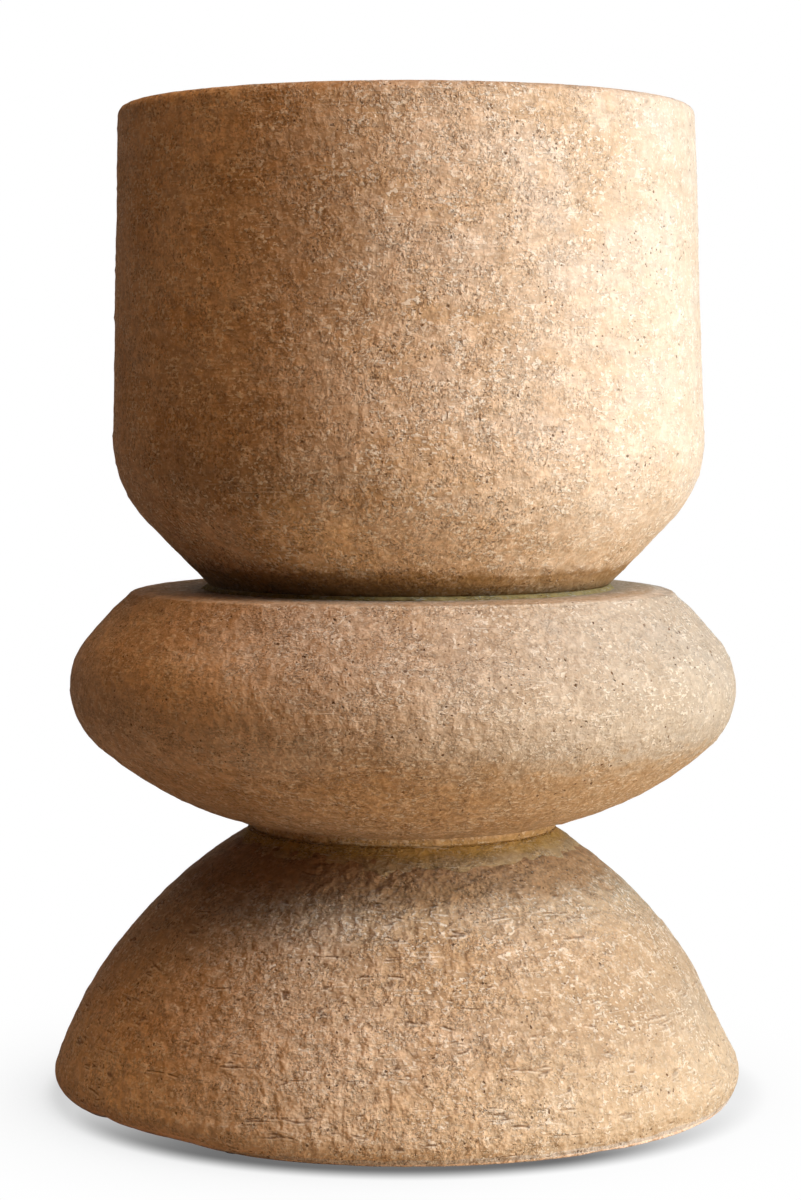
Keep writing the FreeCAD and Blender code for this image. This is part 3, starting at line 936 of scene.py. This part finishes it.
    def _above(self, gap: float) -> Socket:
        """Looks a gap in millimetres higher up, so that what is found there is drawn below itself."""
        return self.moved(self.place, (0.0, 0.0, gap * MM))

    def _torn(self, place: Socket) -> Socket:
        """Finds thin, level, broken tears.

        Args:
            place: Where they are looked for.

        Returns:
            The share of a tear.
        """
        wander = self.noise(place, Cast.TEAR_WANDER)
        where = self.times(self.noise(place, Cast.TEAR_AREAS), self.noise(place, Cast.TEAR_BREAKS))
        line = self.ramp(self.math("ABSOLUTE", self.centred(wander)), Cast.TEAR_LINE)
        return self.times(line, self.times(where, self.finish.cracks))

    def _holes(self, place: Socket) -> Socket:
        """Gives 1 in the larger and the smaller pits."""
        return self.math("MAXIMUM", self._pitted(place, *self.LARGE_PITS),
                         self._pitted(place, *self.SMALL_PITS))

    def _pitted(self, place: Socket, size: float, rarity: float) -> Socket:
        """Finds scattered, ragged pits of one size.

        Args:
            place: Where they are looked for.
            size: Their spacing in metres.
            rarity: The share of places that stay whole.

        Returns:
            The share of a pit.
        """
        cells = self.add("ShaderNodeTexVoronoi", {"Vector": place, "Scale": 1.0 / size}).outputs
        lot = self.add("ShaderNodeSeparateColor", {0: cells["Color"]}).outputs[0]
        opened = self.times(self.ramp(lot, Ramp(rarity, rarity + self.LOT_EDGE)), self.finish.pits)
        ragged = self.times(self.centred(self.noise(place, Cast.PIT_EDGES)), self.PIT_RAGGED)
        away = self.math("ADD", cells["Distance"], ragged)
        opened = self.times(opened, self.noise(place, Cast.PIT_AREAS))
        return self.times(opened, self.ramp(away, Cast.PIT_MIDDLE))

    def _smudged(self, smudge: Smudge) -> Socket:
        """Finds a patch of painted light or shade.

        Args:
            smudge: The patch of painted light or shade.

        Returns:
            Its share at each place.
        """
        x, y, z = (value * MM for value in smudge.spot)
        reach, shift = smudge.reach * MM, self.finish.shift
        away = self.vector("DISTANCE", self.place, (x + shift, y + shift, z)).outputs["Value"]
        drift = self.times(self.centred(self.noise(self.place, Cast.SMUDGE_DRIFT)), reach)
        return self.ramp(self.math("ADD", away, drift),
                         Ramp(self.SMUDGE_CORE * reach, reach, smudge.amount, 0.0))

    def _inside(self, stain: Stain) -> Socket:
        """Finds a colour band.

        Args:
            stain: The band of colour.

        Returns:
            1 inside it, easing to 0 outside.
        """
        drift = self.centred(self.noise(self.place, replace(Cast.STAIN_DRIFT, size=stain.jag * MM)))
        level = self.math("ADD", self.parts(self.place)[2],
                          self.times(drift, stain.ragged * self.STAIN_WANDER * MM))
        low, high, soft = stain.low * MM, stain.high * MM, stain.soft * MM
        return self.times(self.ramp(level, Ramp(low - soft, low)),
                          self.ramp(level, Ramp(high, high + soft, 1.0, 0.0)))


@dataclass(frozen=True)
class PlainFinish:
    """A moulded or pressed finish with a little mottle and grain."""

    name: str
    colour: Colour
    worn: Colour
    roughness: float

    DUST, GRAIN = Noise(0.02, 4.0, 0.6), Noise(0.0009)
    DUSTED, ROUGH = Ramp(0.45, 0.75), Ramp(0.3, 0.7, -0.06, 0.08)
    RISE = 0.00004

    def build(self) -> Material:
        """Makes the material.

        Returns:
            A material that reads Object coordinates.
        """
        material = new_material(self.name)
        kit = Nodes(material.node_tree)
        place = kit.add("ShaderNodeTexCoord").outputs["Object"]
        dust = kit.noise(place, self.DUST)
        colour = kit.blend(kit.ramp(dust, self.DUSTED), opaque(self.colour), opaque(self.worn))
        rough = kit.ramp(dust, replace(self.ROUGH, bottom=self.roughness + self.ROUGH.bottom,
                                       top=self.roughness + self.ROUGH.top))
        bump = kit.add("ShaderNodeBump", {"Height": kit.times(kit.noise(place, self.GRAIN), self.RISE),
                                          "Distance": 1.0})
        shader = kit.add("ShaderNodeBsdfPrincipled", {"Base Color": colour, "Roughness": rough,
                                                      "Normal": bump.outputs[0]})
        kit.add("ShaderNodeOutputMaterial", {0: shader.outputs[0]})
        return material


# ---------------------------------------------------------------- sections

# Radii in millimetres: a section's lean sets in between them, so that the drain set stays true.
FIXED_RADIUS = 60.0
FREE_RADIUS = 110.0


@dataclass
class Levels:
    """Heights above the floor and the sizes that the sections share, in millimetres."""

    base: float = 1.5
    lower_bed: float = 204.0
    disc: float = 206.5
    upper_bed: float = 392.0
    pot: float = 394.5
    tail_hole: float = 20.6
    access: float = 37.0


@dataclass(frozen=True)
class Lean:
    """How far a section stands off the axis, by height: hand-built sections are never quite true."""

    heights: tuple[float, ...]
    offsets: tuple[float, ...]

    def shift(self, points: np.ndarray) -> np.ndarray:
        """Moves points across, more the further they are from the axis.

        Args:
            points: Points in metres.

        Returns:
            The moved points.
        """
        aside = np.interp(points[:, 2] / MM, self.heights, self.offsets)
        moved = points.copy()
        moved[:, 0] += aside * smooth_step(FIXED_RADIUS, FREE_RADIUS, reach_of(points)) * MM
        return moved


class Section:
    """One cast section: an outline turned round the axis, set a little off it and roughened."""

    name = node = "section"
    seed = 1
    lean = Lean((0.0, 1.0), (0.0, 0.0))
    finish = EarthenFinish("earthen")

    def __init__(self, levels: Levels, foot: float) -> None:
        """Keeps the shared heights and the height at which the section stands."""
        self.levels, self.foot = levels, foot

    def outline(self) -> Meridian:
        """Gives the section's outline, standing on its own foot."""
        raise NotImplementedError

    def shape(self, points: np.ndarray) -> np.ndarray:
        """Adds hand-made irregularities; a section may add its own."""
        return self.lean.shift(points)

    def broken(self, points: np.ndarray) -> np.ndarray:
        """Gives each point's share of fresh break; most sections have none."""
        return np.zeros(len(points))

    def build(self, tree: ReliefTree) -> None:
        """Makes the section.

        Args:
            tree: The relief tree.
        """
        places, zones = self.outline().rows()
        places[:, 1] += self.foot
        rings, relief = [], []
        for (radius, height), zone in zip(places, zones):
            rings.append(ring(np.arange(zone.ring_points) * math.tau / zone.ring_points, radius, height))
            relief.append(np.full(zone.ring_points, zone.roughness))
        mesh = ring_mesh(f"{self.name}_rows", rings, relief)
        points = read_points(mesh)
        store(mesh, "broken", self.broken(points))
        write_points(mesh, self.shape(points))
        coat = EarthenCoat(self.finish).build()
        add_object(self.name, tree.apply(mesh, self.seed, coat, {}), self.node)


@dataclass
class DomeSizes:
    """Sizes of the domed base."""

    height: float = 202.5
    radius: float = 272.6
    top_radius: float = 117.5
    arc: float = 331.0
    rounding: float = 17.0
    wall: float = 20.0
    crown: float = 26.0
    foot_ring: float = 46.0
    inner_rounding: float = 12.0


class Dome(Section):
    """Domed, hollow base with a chipped lower edge.

    A chip is its depth in millimetres, its middle in degrees round the axis and half its width. The
    lobes hold how far the edge stands out or in, the middle and half the width.
    """

    name = "cast_dome"
    node = "base_dome"
    seed = 3
    lean = Lean((0.0, 60.0, 204.0), (-5.0, -4.6, -2.3))
    finish = EarthenFinish(
        "earthen_dome",
        # Bands: painted light makes the lowest part paler, painted shade darkens the upper dome and most of
        # all its crown under the disc; the grey band and the pale core are the worn lowest edge.
        stains=(Stain(-5.0, 40.0, (0.78, 0.63, 0.46), 0.45, 30.0, 50.0),
                Stain(120.0, 210.0, (0.50, 0.36, 0.23), 0.5, 25.0, 50.0),
                Stain(180.0, 210.0, (0.32, 0.17, 0.075), 0.8, 12.0, 22.0, hides=0.9),
                Stain(-5.0, 7.0, (0.58, 0.53, 0.50), 0.85, 2.0, 0.8),
                Stain(-5.0, 3.6, (0.96, 0.76, 0.64), 0.9, 0.6, 0.8)),
        # Painted light low on the front left, painted shade low on the front right.
        smudges=(Smudge((-75.0, -225.0, 95.0), 105.0, (0.90, 0.74, 0.58), 0.45),
                 Smudge((150.0, -215.0, 45.0), 125.0, (0.46, 0.34, 0.23), 0.45)),
        bleach=(0.38, 0.33, 0.26), bleached=0.65, tint=(0.96, 0.94, 0.92),
        grain=0.9, lumps=1.9, lump_size=1.2, cracks=1.0, pits=1.1, specks=0.85, shift=0.31)

    CHIPS = ((2.3, -135.0, 28.0), (1.7, -147.5, 5.0), (0.9, -127.0, 9.0), (0.8, -56.0, 6.0),
             (0.7, 40.0, 9.0), (1.5, 133.0, 12.0))
    DEEPEST_CHIP = 2.4
    RIM_RADII = (225.0, 250.0)
    CHIPPED_HEIGHTS = (24.0, 2.0)
    BROKEN_HEIGHTS = (11.0, 5.0)
    FLANK_HEIGHTS = ((22.0, 55.0), (120.0, 70.0))
    SQUARED_ALL_ROUND = 2.0
    SQUARED, SQUARED_FADE = (8.5, -45.0, 75.0), 3.5
    UNDERCUT, UNDERCUT_FADE = (9.0, -145.0, 45.0), 7.0
    FLATTENED = (3.0, 0.0, 55.0)

    def outline(self) -> Meridian:
        """Gives the dome's outline.

        Returns:
            The closed outline, from the access hole's top edge outwards and down.
        """
        size, bore = DomeSizes(), self.levels.access
        rim, brow = (size.radius, 0.0), (size.top_radius, size.height)
        centre = arc_centre(rim, brow, size.arc)
        inner = size.arc - size.wall
        foot, under = size.radius - size.foot_ring, size.height - size.crown
        spring = (foot, centre[1] + math.sqrt(inner ** 2 - (foot - centre[0]) ** 2))
        shoulder = (centre[0] + math.sqrt(inner ** 2 - (under - centre[1]) ** 2), under)
        return Meridian.path(
            (bore, size.height), (brow, Zone.BEDDED), (rim, Zone.FACE, centre), ((foot, 0.0), Zone.INSIDE),
            (spring, Zone.HOLLOW), (shoulder, Zone.HOLLOW, centre), ((bore, under), Zone.HOLLOW),
            ((bore, size.height), Zone.HOLLOW),
        ).rounded((4, size.inner_rounding, Zone.HOLLOW), (3, size.inner_rounding, Zone.HOLLOW),
                  (1, size.rounding, Zone.EDGE))

    def _chips(self, turn: np.ndarray) -> np.ndarray:
        """Gives how far the lower edge is broken away at each angle, in millimetres."""
        return sum(depth * lobe(turn, middle, half) for depth, middle, half in self.CHIPS)

    def shape(self, points: np.ndarray) -> np.ndarray:
        """Sets the dome off the axis, squares its edge at the front right and chips it at the front left.

        Args:
            points: Points in metres.

        Returns:
            The moved points.
        """
        moved, turn = self.lean.shift(points), turn_of(points)
        height = points[:, 2] / MM - self.foot
        rim = smooth_step(*self.RIM_RADII, reach_of(points))
        low = rim * smooth_step(*self.CHIPPED_HEIGHTS, height)
        rising, falling = self.FLANK_HEIGHTS
        flank = rim * smooth_step(*rising, height) * smooth_step(*falling, height)
        above = np.maximum(height, 0.0)
        out, middle, half = self.SQUARED
        squared = self.SQUARED_ALL_ROUND + out * lobe(turn, middle, half)
        square = squared * rim * np.exp(-above / self.SQUARED_FADE)
        out, middle, half = self.UNDERCUT
        undercut = out * lobe(turn, middle, half) * rim * np.exp(-above / self.UNDERCUT_FADE)
        out, middle, half = self.FLATTENED
        push = square - undercut - out * lobe(turn, middle, half) * flank
        moved[:, 0] += push * np.cos(np.radians(turn)) * MM
        moved[:, 1] += push * np.sin(np.radians(turn)) * MM
        moved[:, 2] += self._chips(turn) * low * MM
        return moved

    def broken(self, points: np.ndarray) -> np.ndarray:
        """Shows the fresh break where the lower edge is chipped.

        Args:
            points: Points in metres, before they are moved.

        Returns:
            Each point's share of fresh break.
        """
        height = points[:, 2] / MM - self.foot
        chipped = np.clip(self._chips(turn_of(points)) / self.DEEPEST_CHIP, 0.0, 1.0)
        return chipped * smooth_step(*self.BROKEN_HEIGHTS, height)


@dataclass
class DiscSizes:
    """Sizes of the flattened disc."""

    height: float = 185.5
    top_radius: float = 209.5
    side_radius: float = 275.8
    side_height: float = 111.3
    side_rounding: float = 57.0
    haunch_arc: float = 246.0
    foot_radius: float = 118.0
    neck: float = 5.5
    edge_rounding: float = 3.2
    covered_radius: float = 146.0
    wall: float = 18.0
    top_plate: float = 24.0
    bottom_plate: float = 24.0


class Disc(Section):
    """Flattened, hollow disc between base and pot.

    The worn lobes hold how far the top edge is worn down, the middle in degrees and half the width.
    """

    name = "cast_disc"
    node = "middle_disc"
    seed = 7
    lean = Lean((206.0, 240.0, 290.0, 340.0, 392.0), (0.8, 1.6, 0.6, -0.4, -0.6))
    finish = EarthenFinish(
        "earthen_disc",
        # Bands: painted shade under the haunch down to the neck, the neck's own colour, a painted highlight
        # along the top edge and a warmer brown on the flat top.
        stains=(Stain(206.0, 262.0, (0.50, 0.32, 0.16), 0.55, 22.0, 22.0),
                Stain(205.0, 209.0, (0.50, 0.35, 0.17), 0.7, 1.5, 3.0),
                Stain(390.5, 391.3, (0.86, 0.74, 0.60), 0.35, 0.3, 0.4),
                Stain(391.9, 400.0, (0.54, 0.38, 0.23), 0.6, 0.3, 0.5)),
        # Painted light on the front left.
        smudges=(Smudge((-150.0, -215.0, 315.0), 100.0, (0.86, 0.66, 0.48), 0.45),),
        ochre=(0.56, 0.395, 0.26), tan=(0.67, 0.52, 0.395), bleach=(0.44, 0.41, 0.36), bleached=0.65,
        shade_edge=-0.04, tint=(0.92, 0.905, 0.89),
        grain=0.8, lumps=1.3, lump_size=0.9, fibre=1.7, cracks=0.15, pits=1.2, specks=0.7, shift=0.57)

    WORN = ((2.6, 180.0, 85.0), (2.6, 0.0, 75.0))
    WORN_RADII = (190.0, 212.0)
    WORN_DEPTHS = (17.0, 3.0)

    def outline(self) -> Meridian:
        """Gives the disc's outline.

        Returns:
            The closed outline, from the tail hole's top edge outwards and down.
        """
        size, access, hole = DiscSizes(), self.levels.access, self.levels.tail_hole
        ceiling, floor = size.height - size.top_plate, size.bottom_plate
        brow, side = (size.top_radius, size.height), (size.side_radius, size.side_height)
        neck = (size.foot_radius, size.neck)
        centre = arc_centre(neck, side, size.haunch_arc)
        inner = size.haunch_arc - size.wall
        slope = beside(side, brow, size.wall)[::-1]
        inner_side = line_meets_circle(slope, centre, inner)
        inner_brow = at_height(slope, ceiling)
        inner_foot = (centre[0] + math.sqrt(inner ** 2 - (floor - centre[1]) ** 2), floor)
        return Meridian.path(
            (hole, size.height), ((size.covered_radius, size.height), Zone.BEDDED), (brow, Zone.WIPED),
            (side, Zone.FACE), (neck, Zone.FACE, centre), ((neck[0], 0.0), Zone.EDGE),
            ((access, 0.0), Zone.BEDDED), ((access, floor), Zone.HOLLOW), (inner_foot, Zone.HOLLOW),
            (inner_side, Zone.HOLLOW, centre), (inner_brow, Zone.HOLLOW), ((hole, ceiling), Zone.HOLLOW),
            ((hole, size.height), Zone.HOLLOW),
        ).rounded((8, size.side_rounding - size.wall, Zone.HOLLOW), (2, size.side_rounding, Zone.FACE),
                  (1, size.edge_rounding, Zone.EDGE))

    def shape(self, points: np.ndarray) -> np.ndarray:
        """Sets the disc off the axis and wears the top edge rounder at its left and right.

        Args:
            points: Points in metres.

        Returns:
            The moved points.
        """
        moved, turn = self.lean.shift(points), turn_of(points)
        below = self.foot + DiscSizes().height - points[:, 2] / MM
        worn = sum(depth * lobe(turn, middle, half) for depth, middle, half in self.WORN)
        drop = smooth_step(*self.WORN_RADII, reach_of(points)) * smooth_step(*self.WORN_DEPTHS, below)
        moved[:, 2] -= worn * drop * MM
        return moved


@dataclass
class PotSizes:
    """Sizes of the pot."""

    height: float = 365.5
    rim_radius: float = 220.5
    belly_radius: float = 228.5
    belly_height: float = 76.5
    belly_rounding: float = 91.0
    foot_radius: float = 154.0
    wall: float = 19.0
    floor: float = 26.0
    floor_rounding: float = 24.0
    rim_rounding: float = 7.5
    lip_rounding: float = 5.0


class Pot(Section):
    """Open pot with a drain hole in its floor."""

    name = "cast_pot"
    node = "pot_shell"
    seed = 11
    lean = Lean((394.0, 480.0, 560.0, 760.0), (4.6, 4.4, 3.9, 2.4))
    finish = EarthenFinish(
        "earthen_pot",
        # Both bands are painted shade: browner and darker at the foot, under the belly, towards the joint.
        stains=(Stain(390.0, 420.0, (0.50, 0.30, 0.12), 0.25, 14.0, 26.0),
                Stain(390.0, 408.0, (0.26, 0.14, 0.04), 0.8, 7.0, 9.0, hides=0.85)),
        # Painted shade on the left side, and painted light low on the front just left of the middle.
        smudges=(Smudge((-75.0, -215.0, 665.0), 115.0, (0.30, 0.18, 0.08), 0.33),
                 Smudge((-130.0, -185.0, 500.0), 120.0, (0.30, 0.18, 0.08), 0.42),
                 Smudge((-190.0, -70.0, 430.0), 80.0, (0.26, 0.14, 0.05), 0.45),
                 Smudge((-66.0, -180.0, 435.0), 60.0, (0.85, 0.62, 0.38), 0.45)),
        grain=1.0, lumps=0.9, cracks=0.25)

    def outline(self) -> Meridian:
        """Gives the pot's outline.

        Returns:
            The closed outline, from the drain hole outwards, up the inside and down the outside.
        """
        size, hole = PotSizes(), self.levels.tail_hole
        foot, belly = (size.foot_radius, 0.0), (size.belly_radius, size.belly_height)
        rim = (size.rim_radius, size.height)
        wall, cone = beside(belly, rim, size.wall), beside(foot, belly, size.wall)
        lip, corner = at_height(wall, size.height), at_height(cone, size.floor)
        return Meridian.path(
            (hole, size.floor), (corner, Zone.INSIDE), (crossing(wall, cone), Zone.INSIDE),
            (lip, Zone.INSIDE), (rim, Zone.WIPED), (belly, Zone.FACE), (foot, Zone.FACE),
            ((hole, 0.0), Zone.BEDDED), ((hole, size.floor), Zone.HOLLOW),
        ).rounded((4, size.belly_rounding, Zone.FACE), (3, size.rim_rounding, Zone.EDGE),
                  (2, size.lip_rounding, Zone.EDGE), (1, size.belly_rounding - size.wall, Zone.INSIDE),
                  (0, size.floor_rounding, Zone.INSIDE))


# ---------------------------------------------------------------- mortar


@dataclass
class MortarJoint:
    """A mortar bed with its squeezed-out, smeared bead.

    corners are radius and height pairs of the closed section, swing says how far each may wander, aside
    how far the bead stands off the axis, and fall how much lower the face below lies for each
    millimetre outwards.
    """

    name: str
    node: str
    corners: tuple[Point, ...]
    swing: tuple[float, ...]
    aside: float
    seed: int
    fall: float = 0.0

    TURNS = 480
    WAVES = range(2, 60)
    SWING_SCALE = 2.2
    ROUGHNESS = 0.6
    AMOUNTS = {Relief.WAVE_HEIGHT: 0.0004, Relief.LUMP_HEIGHT: 0.0007, Relief.LUMP_SIZE: 0.008,
               Relief.PIT_DEPTH: 0.0005}

    def build(self, tree: ReliefTree, finish: Material) -> None:
        """Makes the joint.

        Args:
            tree: The relief tree.
            finish: The mortar's material.
        """
        draw = np.random.default_rng(self.seed)
        angle = np.arange(self.TURNS) * math.tau / self.TURNS
        rings = []
        for (radius, height), swing in zip(self.corners, self.swing):
            wander = sum(draw.normal() * np.cos(angle * wave + draw.uniform(0, math.tau)) / wave ** 0.5
                         for wave in self.WAVES)
            shift = swing * wander / self.SWING_SCALE
            points = ring(angle, radius + shift, height - shift * self.fall)
            reach = np.hypot(points[:, 0], points[:, 1])
            points[:, 0] += self.aside * smooth_step(FIXED_RADIUS, FREE_RADIUS, reach)
            rings.append(points)
        relief = [np.full(self.TURNS, self.ROUGHNESS if swing else 0.0) for swing in self.swing]
        made = tree.apply(ring_mesh(f"{self.name}_rows", rings, relief), self.seed, finish, self.AMOUNTS)
        add_object(self.name, made, self.node)


def mortar_joints(levels: Levels) -> list[MortarJoint]:
    """Lists the two joints.

    Args:
        levels: The shared heights.

    Returns:
        The lower joint and the upper one.
    """
    low, disc, high, pot = levels.lower_bed, levels.disc, levels.upper_bed, levels.pot
    lower = ((levels.access, low), (levels.access, disc), (112.0, disc), (117.2, disc), (118.9, disc - 0.2),
             (120.0, disc - 1.1), (121.6, low - 1.4), (125.5, low - 4.0), (130.0, low - 7.0),
             (134.0, low - 9.9), (137.5, low - 12.9), (135.0, low - 14.5), (126.0, low - 8.0),
             (118.0, low - 2.0), (112.0, low - 1.0), (100.0, low))
    upper = ((levels.tail_hole, high), (levels.tail_hole, pot), (146.0, pot), (151.0, pot), (155.6, pot + 0.2),
             (157.2, pot - 0.4), (158.6, high + 0.8), (160.0, high - 0.3), (156.0, high - 0.8),
             (140.0, high - 0.6), (120.0, high))
    return [
        MortarJoint("squeezed_lower_bed", "lower_mortar_bed", lower,
                    (0, 0, 0, 0, 0.3, 0.4, 0.5, 0.9, 1.8, 3.2, 4.2, 3.5, 1.0, 0, 0, 0), -0.8, 21, 0.57),
        MortarJoint("squeezed_upper_bed", "upper_mortar_bed", upper,
                    (0, 0, 0, 0, 0.5, 0.8, 1.3, 1.8, 1.0, 0, 0), 4.0, 23),
    ]


MORTAR = EarthenFinish(
    "mortar_smear",
    stains=(Stain(-5.0, 196.5, (0.40, 0.285, 0.17), 0.85, 4.0, 5.0, 30.0),
            Stain(205.5, 205.7, (0.07, 0.035, 0.015), 0.85, 1.4, 0.22, 3.0)),
    ochre=(0.41, 0.265, 0.08), tan=(0.48, 0.32, 0.12), pale=(0.55, 0.40, 0.19), haze=(0.43, 0.30, 0.12),
    bleached=0.0, grain=0.9, fibre=3.0, cracks=0.1, specks=0.15, shift=0.83)


# ---------------------------------------------------------------- drain set


class DrainSet:
    """Finishes for the drain fitting, its pipe, its rubber rings, the plug and the floor pads."""

    FINISHES = {
        ("drain_flange", "drain_backnut", "drain_pipe", "pipe_guide"):
            PlainFinish("drain_plastic", (0.028, 0.028, 0.03), (0.07, 0.066, 0.06), 0.48),
        ("flange_gasket", "backnut_washer", "floor_pads"):
            PlainFinish("seal_rubber", (0.02, 0.02, 0.02), (0.06, 0.055, 0.05), 0.78),
        ("drain_plug",): PlainFinish("plug_rubber", (0.06, 0.055, 0.05), (0.12, 0.11, 0.095), 0.7),
    }

    def dress(self, nodes: dict[str, bpy.types.Object]) -> None:
        """Gives each CAD node of the set its material.

        Args:
            nodes: The frame's nodes by name.
        """
        for names, finish in self.FINISHES.items():
            material = finish.build()
            for name in names:
                slots = nodes[name].material_slots
                if not slots:
                    nodes[name].data.materials.append(material)
                for slot in slots:
                    slot.material = material
                LOG.info("%s: %s", name, finish.name)


# ---------------------------------------------------------------- studio


@dataclass(frozen=True)
class SoftBox:
    """A large, soft lamp that looks at the planter's middle."""

    name: str
    azimuth: float
    height: float
    distance: float
    width: float
    tall: float
    level: float
    colour: Colour

    AIM_HEIGHT = 0.4

    def build(self) -> None:
        """Adds the lamp; level 1 shows a white surface that faces it as white."""
        data = bpy.data.lights.new(self.name, "AREA")
        data.shape = "RECTANGLE"
        data.size, data.size_y = self.width, self.tall
        data.energy = self.level * (math.pi * self.distance) ** 2
        data.color = self.colour
        lamp = bpy.data.objects.new(self.name, data)
        turn = math.radians(self.azimuth)
        level = math.sqrt(self.distance ** 2 - (self.height - self.AIM_HEIGHT) ** 2)
        lamp.location = (level * math.sin(turn), -level * math.cos(turn), self.height)
        aim = Vector((0.0, 0.0, self.AIM_HEIGHT)) - Vector(lamp.location)
        lamp.rotation_euler = aim.to_track_quat("-Z", "Y").to_euler()
        bpy.context.scene.collection.objects.link(lamp)


@dataclass
class Studio:
    """Camera, lamps, floor and white surroundings, in metres and degrees."""

    lens: float = 90.27
    sensor: float = 36.0
    distance: float = 2.332
    eye: float = 0.541
    pitch: float = 3.905
    aside: float = -0.0019
    near: float = 0.05
    far: float = 100.0
    floor_reach: float = 40.0
    # Reach and fade of the painted shadow round the foot.
    foot_reach: float = 0.258
    foot_fade: float = 0.037
    shade_reach: float = 0.20
    shade_samples: int = 16
    glow: Colour = (1.0, 0.58, 0.30)
    glow_strength: float = 0.01
    white: Colour = (1.0, 1.0, 1.0)
    floor_colour: Colour = (0.60, 0.46, 0.31)

    LAMPS = (
        SoftBox("low_lamp", 58.0, 0.14, 1.53, 0.8, 0.24, 0.52, (1.0, 0.80, 0.55)),
        SoftBox("side_lamp", 62.0, 1.10, 1.68, 0.8, 0.6, 0.81, (0.67, 0.87, 1.0)),
        SoftBox("high_lamp", 25.0, 3.02, 3.2, 1.2, 1.2, 0.43, (1.0, 0.52, 0.20)),
        SoftBox("back_lamp", -80.0, 3.30, 3.2, 1.3, 1.5, 0.105, (1.0, 0.46, 0.14)),
        SoftBox("rear_lamp", 180.0, 0.45, 2.2, 0.8, 0.6, 0.32, (1.0, 0.84, 0.66)),
    )
    CONTACT_BY_DEPTH, CONTACT_BY_SIDE = Ramp(-0.90, -0.20, 0.84, 0.34), Ramp(0.40, 0.95, 1.0, 0.45)
    SOFT_BY_SKY, SOFT_BY_SIDE = Ramp(0.40, 1.0, 0.36, 0.0), Ramp(-0.8, 0.6, 1.0, 0.25)

    def build(self) -> None:
        """Adds everything but the object."""
        self._camera()
        for lamp in self.LAMPS:
            lamp.build()
        self._world()
        self._floor()

    def _camera(self) -> None:
        """Adds the camera where the photograph was taken from."""
        data = bpy.data.cameras.new("camera")
        data.lens, data.sensor_width = self.lens, self.sensor
        data.clip_start, data.clip_end = self.near, self.far
        camera = bpy.data.objects.new("camera", data)
        camera.location = (self.aside, -self.distance, self.eye)
        camera.rotation_euler = (math.radians(90.0 - self.pitch), 0.0, 0.0)
        bpy.context.scene.collection.objects.link(camera)
        bpy.context.scene.camera = camera

    def _seen(self, kit: Nodes) -> Socket:
        """Gives 1 where the surroundings are looked at straight, in a gloss or through glass."""
        path = kit.add("ShaderNodeLightPath").outputs
        return kit.math("MAXIMUM", kit.math("MAXIMUM", path["Is Camera Ray"], path["Is Glossy Ray"]),
                        path["Is Transmission Ray"])

    def _world(self) -> None:
        """Makes surroundings that look white and light the object faintly."""
        world = bpy.data.worlds.new("surroundings")
        world.use_nodes = True
        world.node_tree.nodes.clear()
        kit = Nodes(world.node_tree)
        dim = kit.add("ShaderNodeBackground", {"Color": opaque(self.glow), "Strength": self.glow_strength})
        white = kit.add("ShaderNodeBackground", {"Color": opaque(self.white), "Strength": 1.0})
        shown = kit.add("ShaderNodeMixShader", {0: self._seen(kit), 1: dim.outputs[0], 2: white.outputs[0]})
        kit.add("ShaderNodeOutputWorld", {0: shown.outputs[0]})
        bpy.context.scene.world = world

    def _floor(self) -> None:
        """Adds a pale floor that looks white, with a painted shadow round the object's foot and painted shade
        where the object occludes it.
        """
        far = self.floor_reach
        mesh = bpy.data.meshes.new("studio_floor")
        mesh.from_pydata([(-far, -far, 0), (far, -far, 0), (far, far, 0), (-far, far, 0)], [], [(0, 1, 2, 3)])
        floor = bpy.data.objects.new("studio_floor", mesh)
        bpy.context.scene.collection.objects.link(floor)
        material = new_material("studio_floor")
        kit = Nodes(material.node_tree)
        sky = kit.add("ShaderNodeAmbientOcclusion", {"Distance": self.shade_reach},
                      samples=self.shade_samples).outputs["AO"]
        place = kit.add("ShaderNodeTexCoord").outputs["Object"]
        reach = kit.vector("LENGTH", place).outputs["Value"]
        way = kit.parts(kit.vector("NORMALIZE", place).outputs[0])
        # Painted shadow: a ring round the foot, darkest at the front and faintest at the right.
        strength = kit.times(kit.ramp(way[1], self.CONTACT_BY_DEPTH), kit.ramp(way[0], self.CONTACT_BY_SIDE))
        edge = Ramp(self.foot_reach, self.foot_reach + self.foot_fade, 1.0, 0.0)
        contact = kit.times(kit.ramp(reach, edge), strength)
        # Painted shade from occlusion, strongest on the -X side.
        soft = kit.times(kit.ramp(sky, self.SOFT_BY_SKY), kit.ramp(way[0], self.SOFT_BY_SIDE))
        shade = kit.less(1.0, kit.math("MAXIMUM", contact, soft))
        white = kit.add("ShaderNodeEmission", {"Color": kit.grey(shade), "Strength": 1.0})
        matte = kit.add("ShaderNodeBsdfDiffuse", {"Color": opaque(self.floor_colour)})
        shown = kit.add("ShaderNodeMixShader", {0: self._seen(kit), 1: matte.outputs[0], 2: white.outputs[0]})
        kit.add("ShaderNodeOutputMaterial", {0: shown.outputs[0]})
        mesh.materials.append(material)


# ---------------------------------------------------------------- the planter


def main() -> None:
    """Builds the studio and every piece in order, and logs face counts and the drain set's finishes."""
    logging.basicConfig(level=logging.INFO, format="%(message)s")
    levels = Levels()
    Studio().build()
    bpy.context.scene.view_settings.view_transform = "Standard"
    tree = ReliefTree()
    for section in (Dome(levels, levels.base), Disc(levels, levels.disc), Pot(levels, levels.pot)):
        section.build(tree)
    mortar = EarthenCoat(MORTAR).build()
    for joint in mortar_joints(levels):
        joint.build(tree, mortar)
    DrainSet().dress(frame["nodes"])


if __name__ == "__main__":
    main()
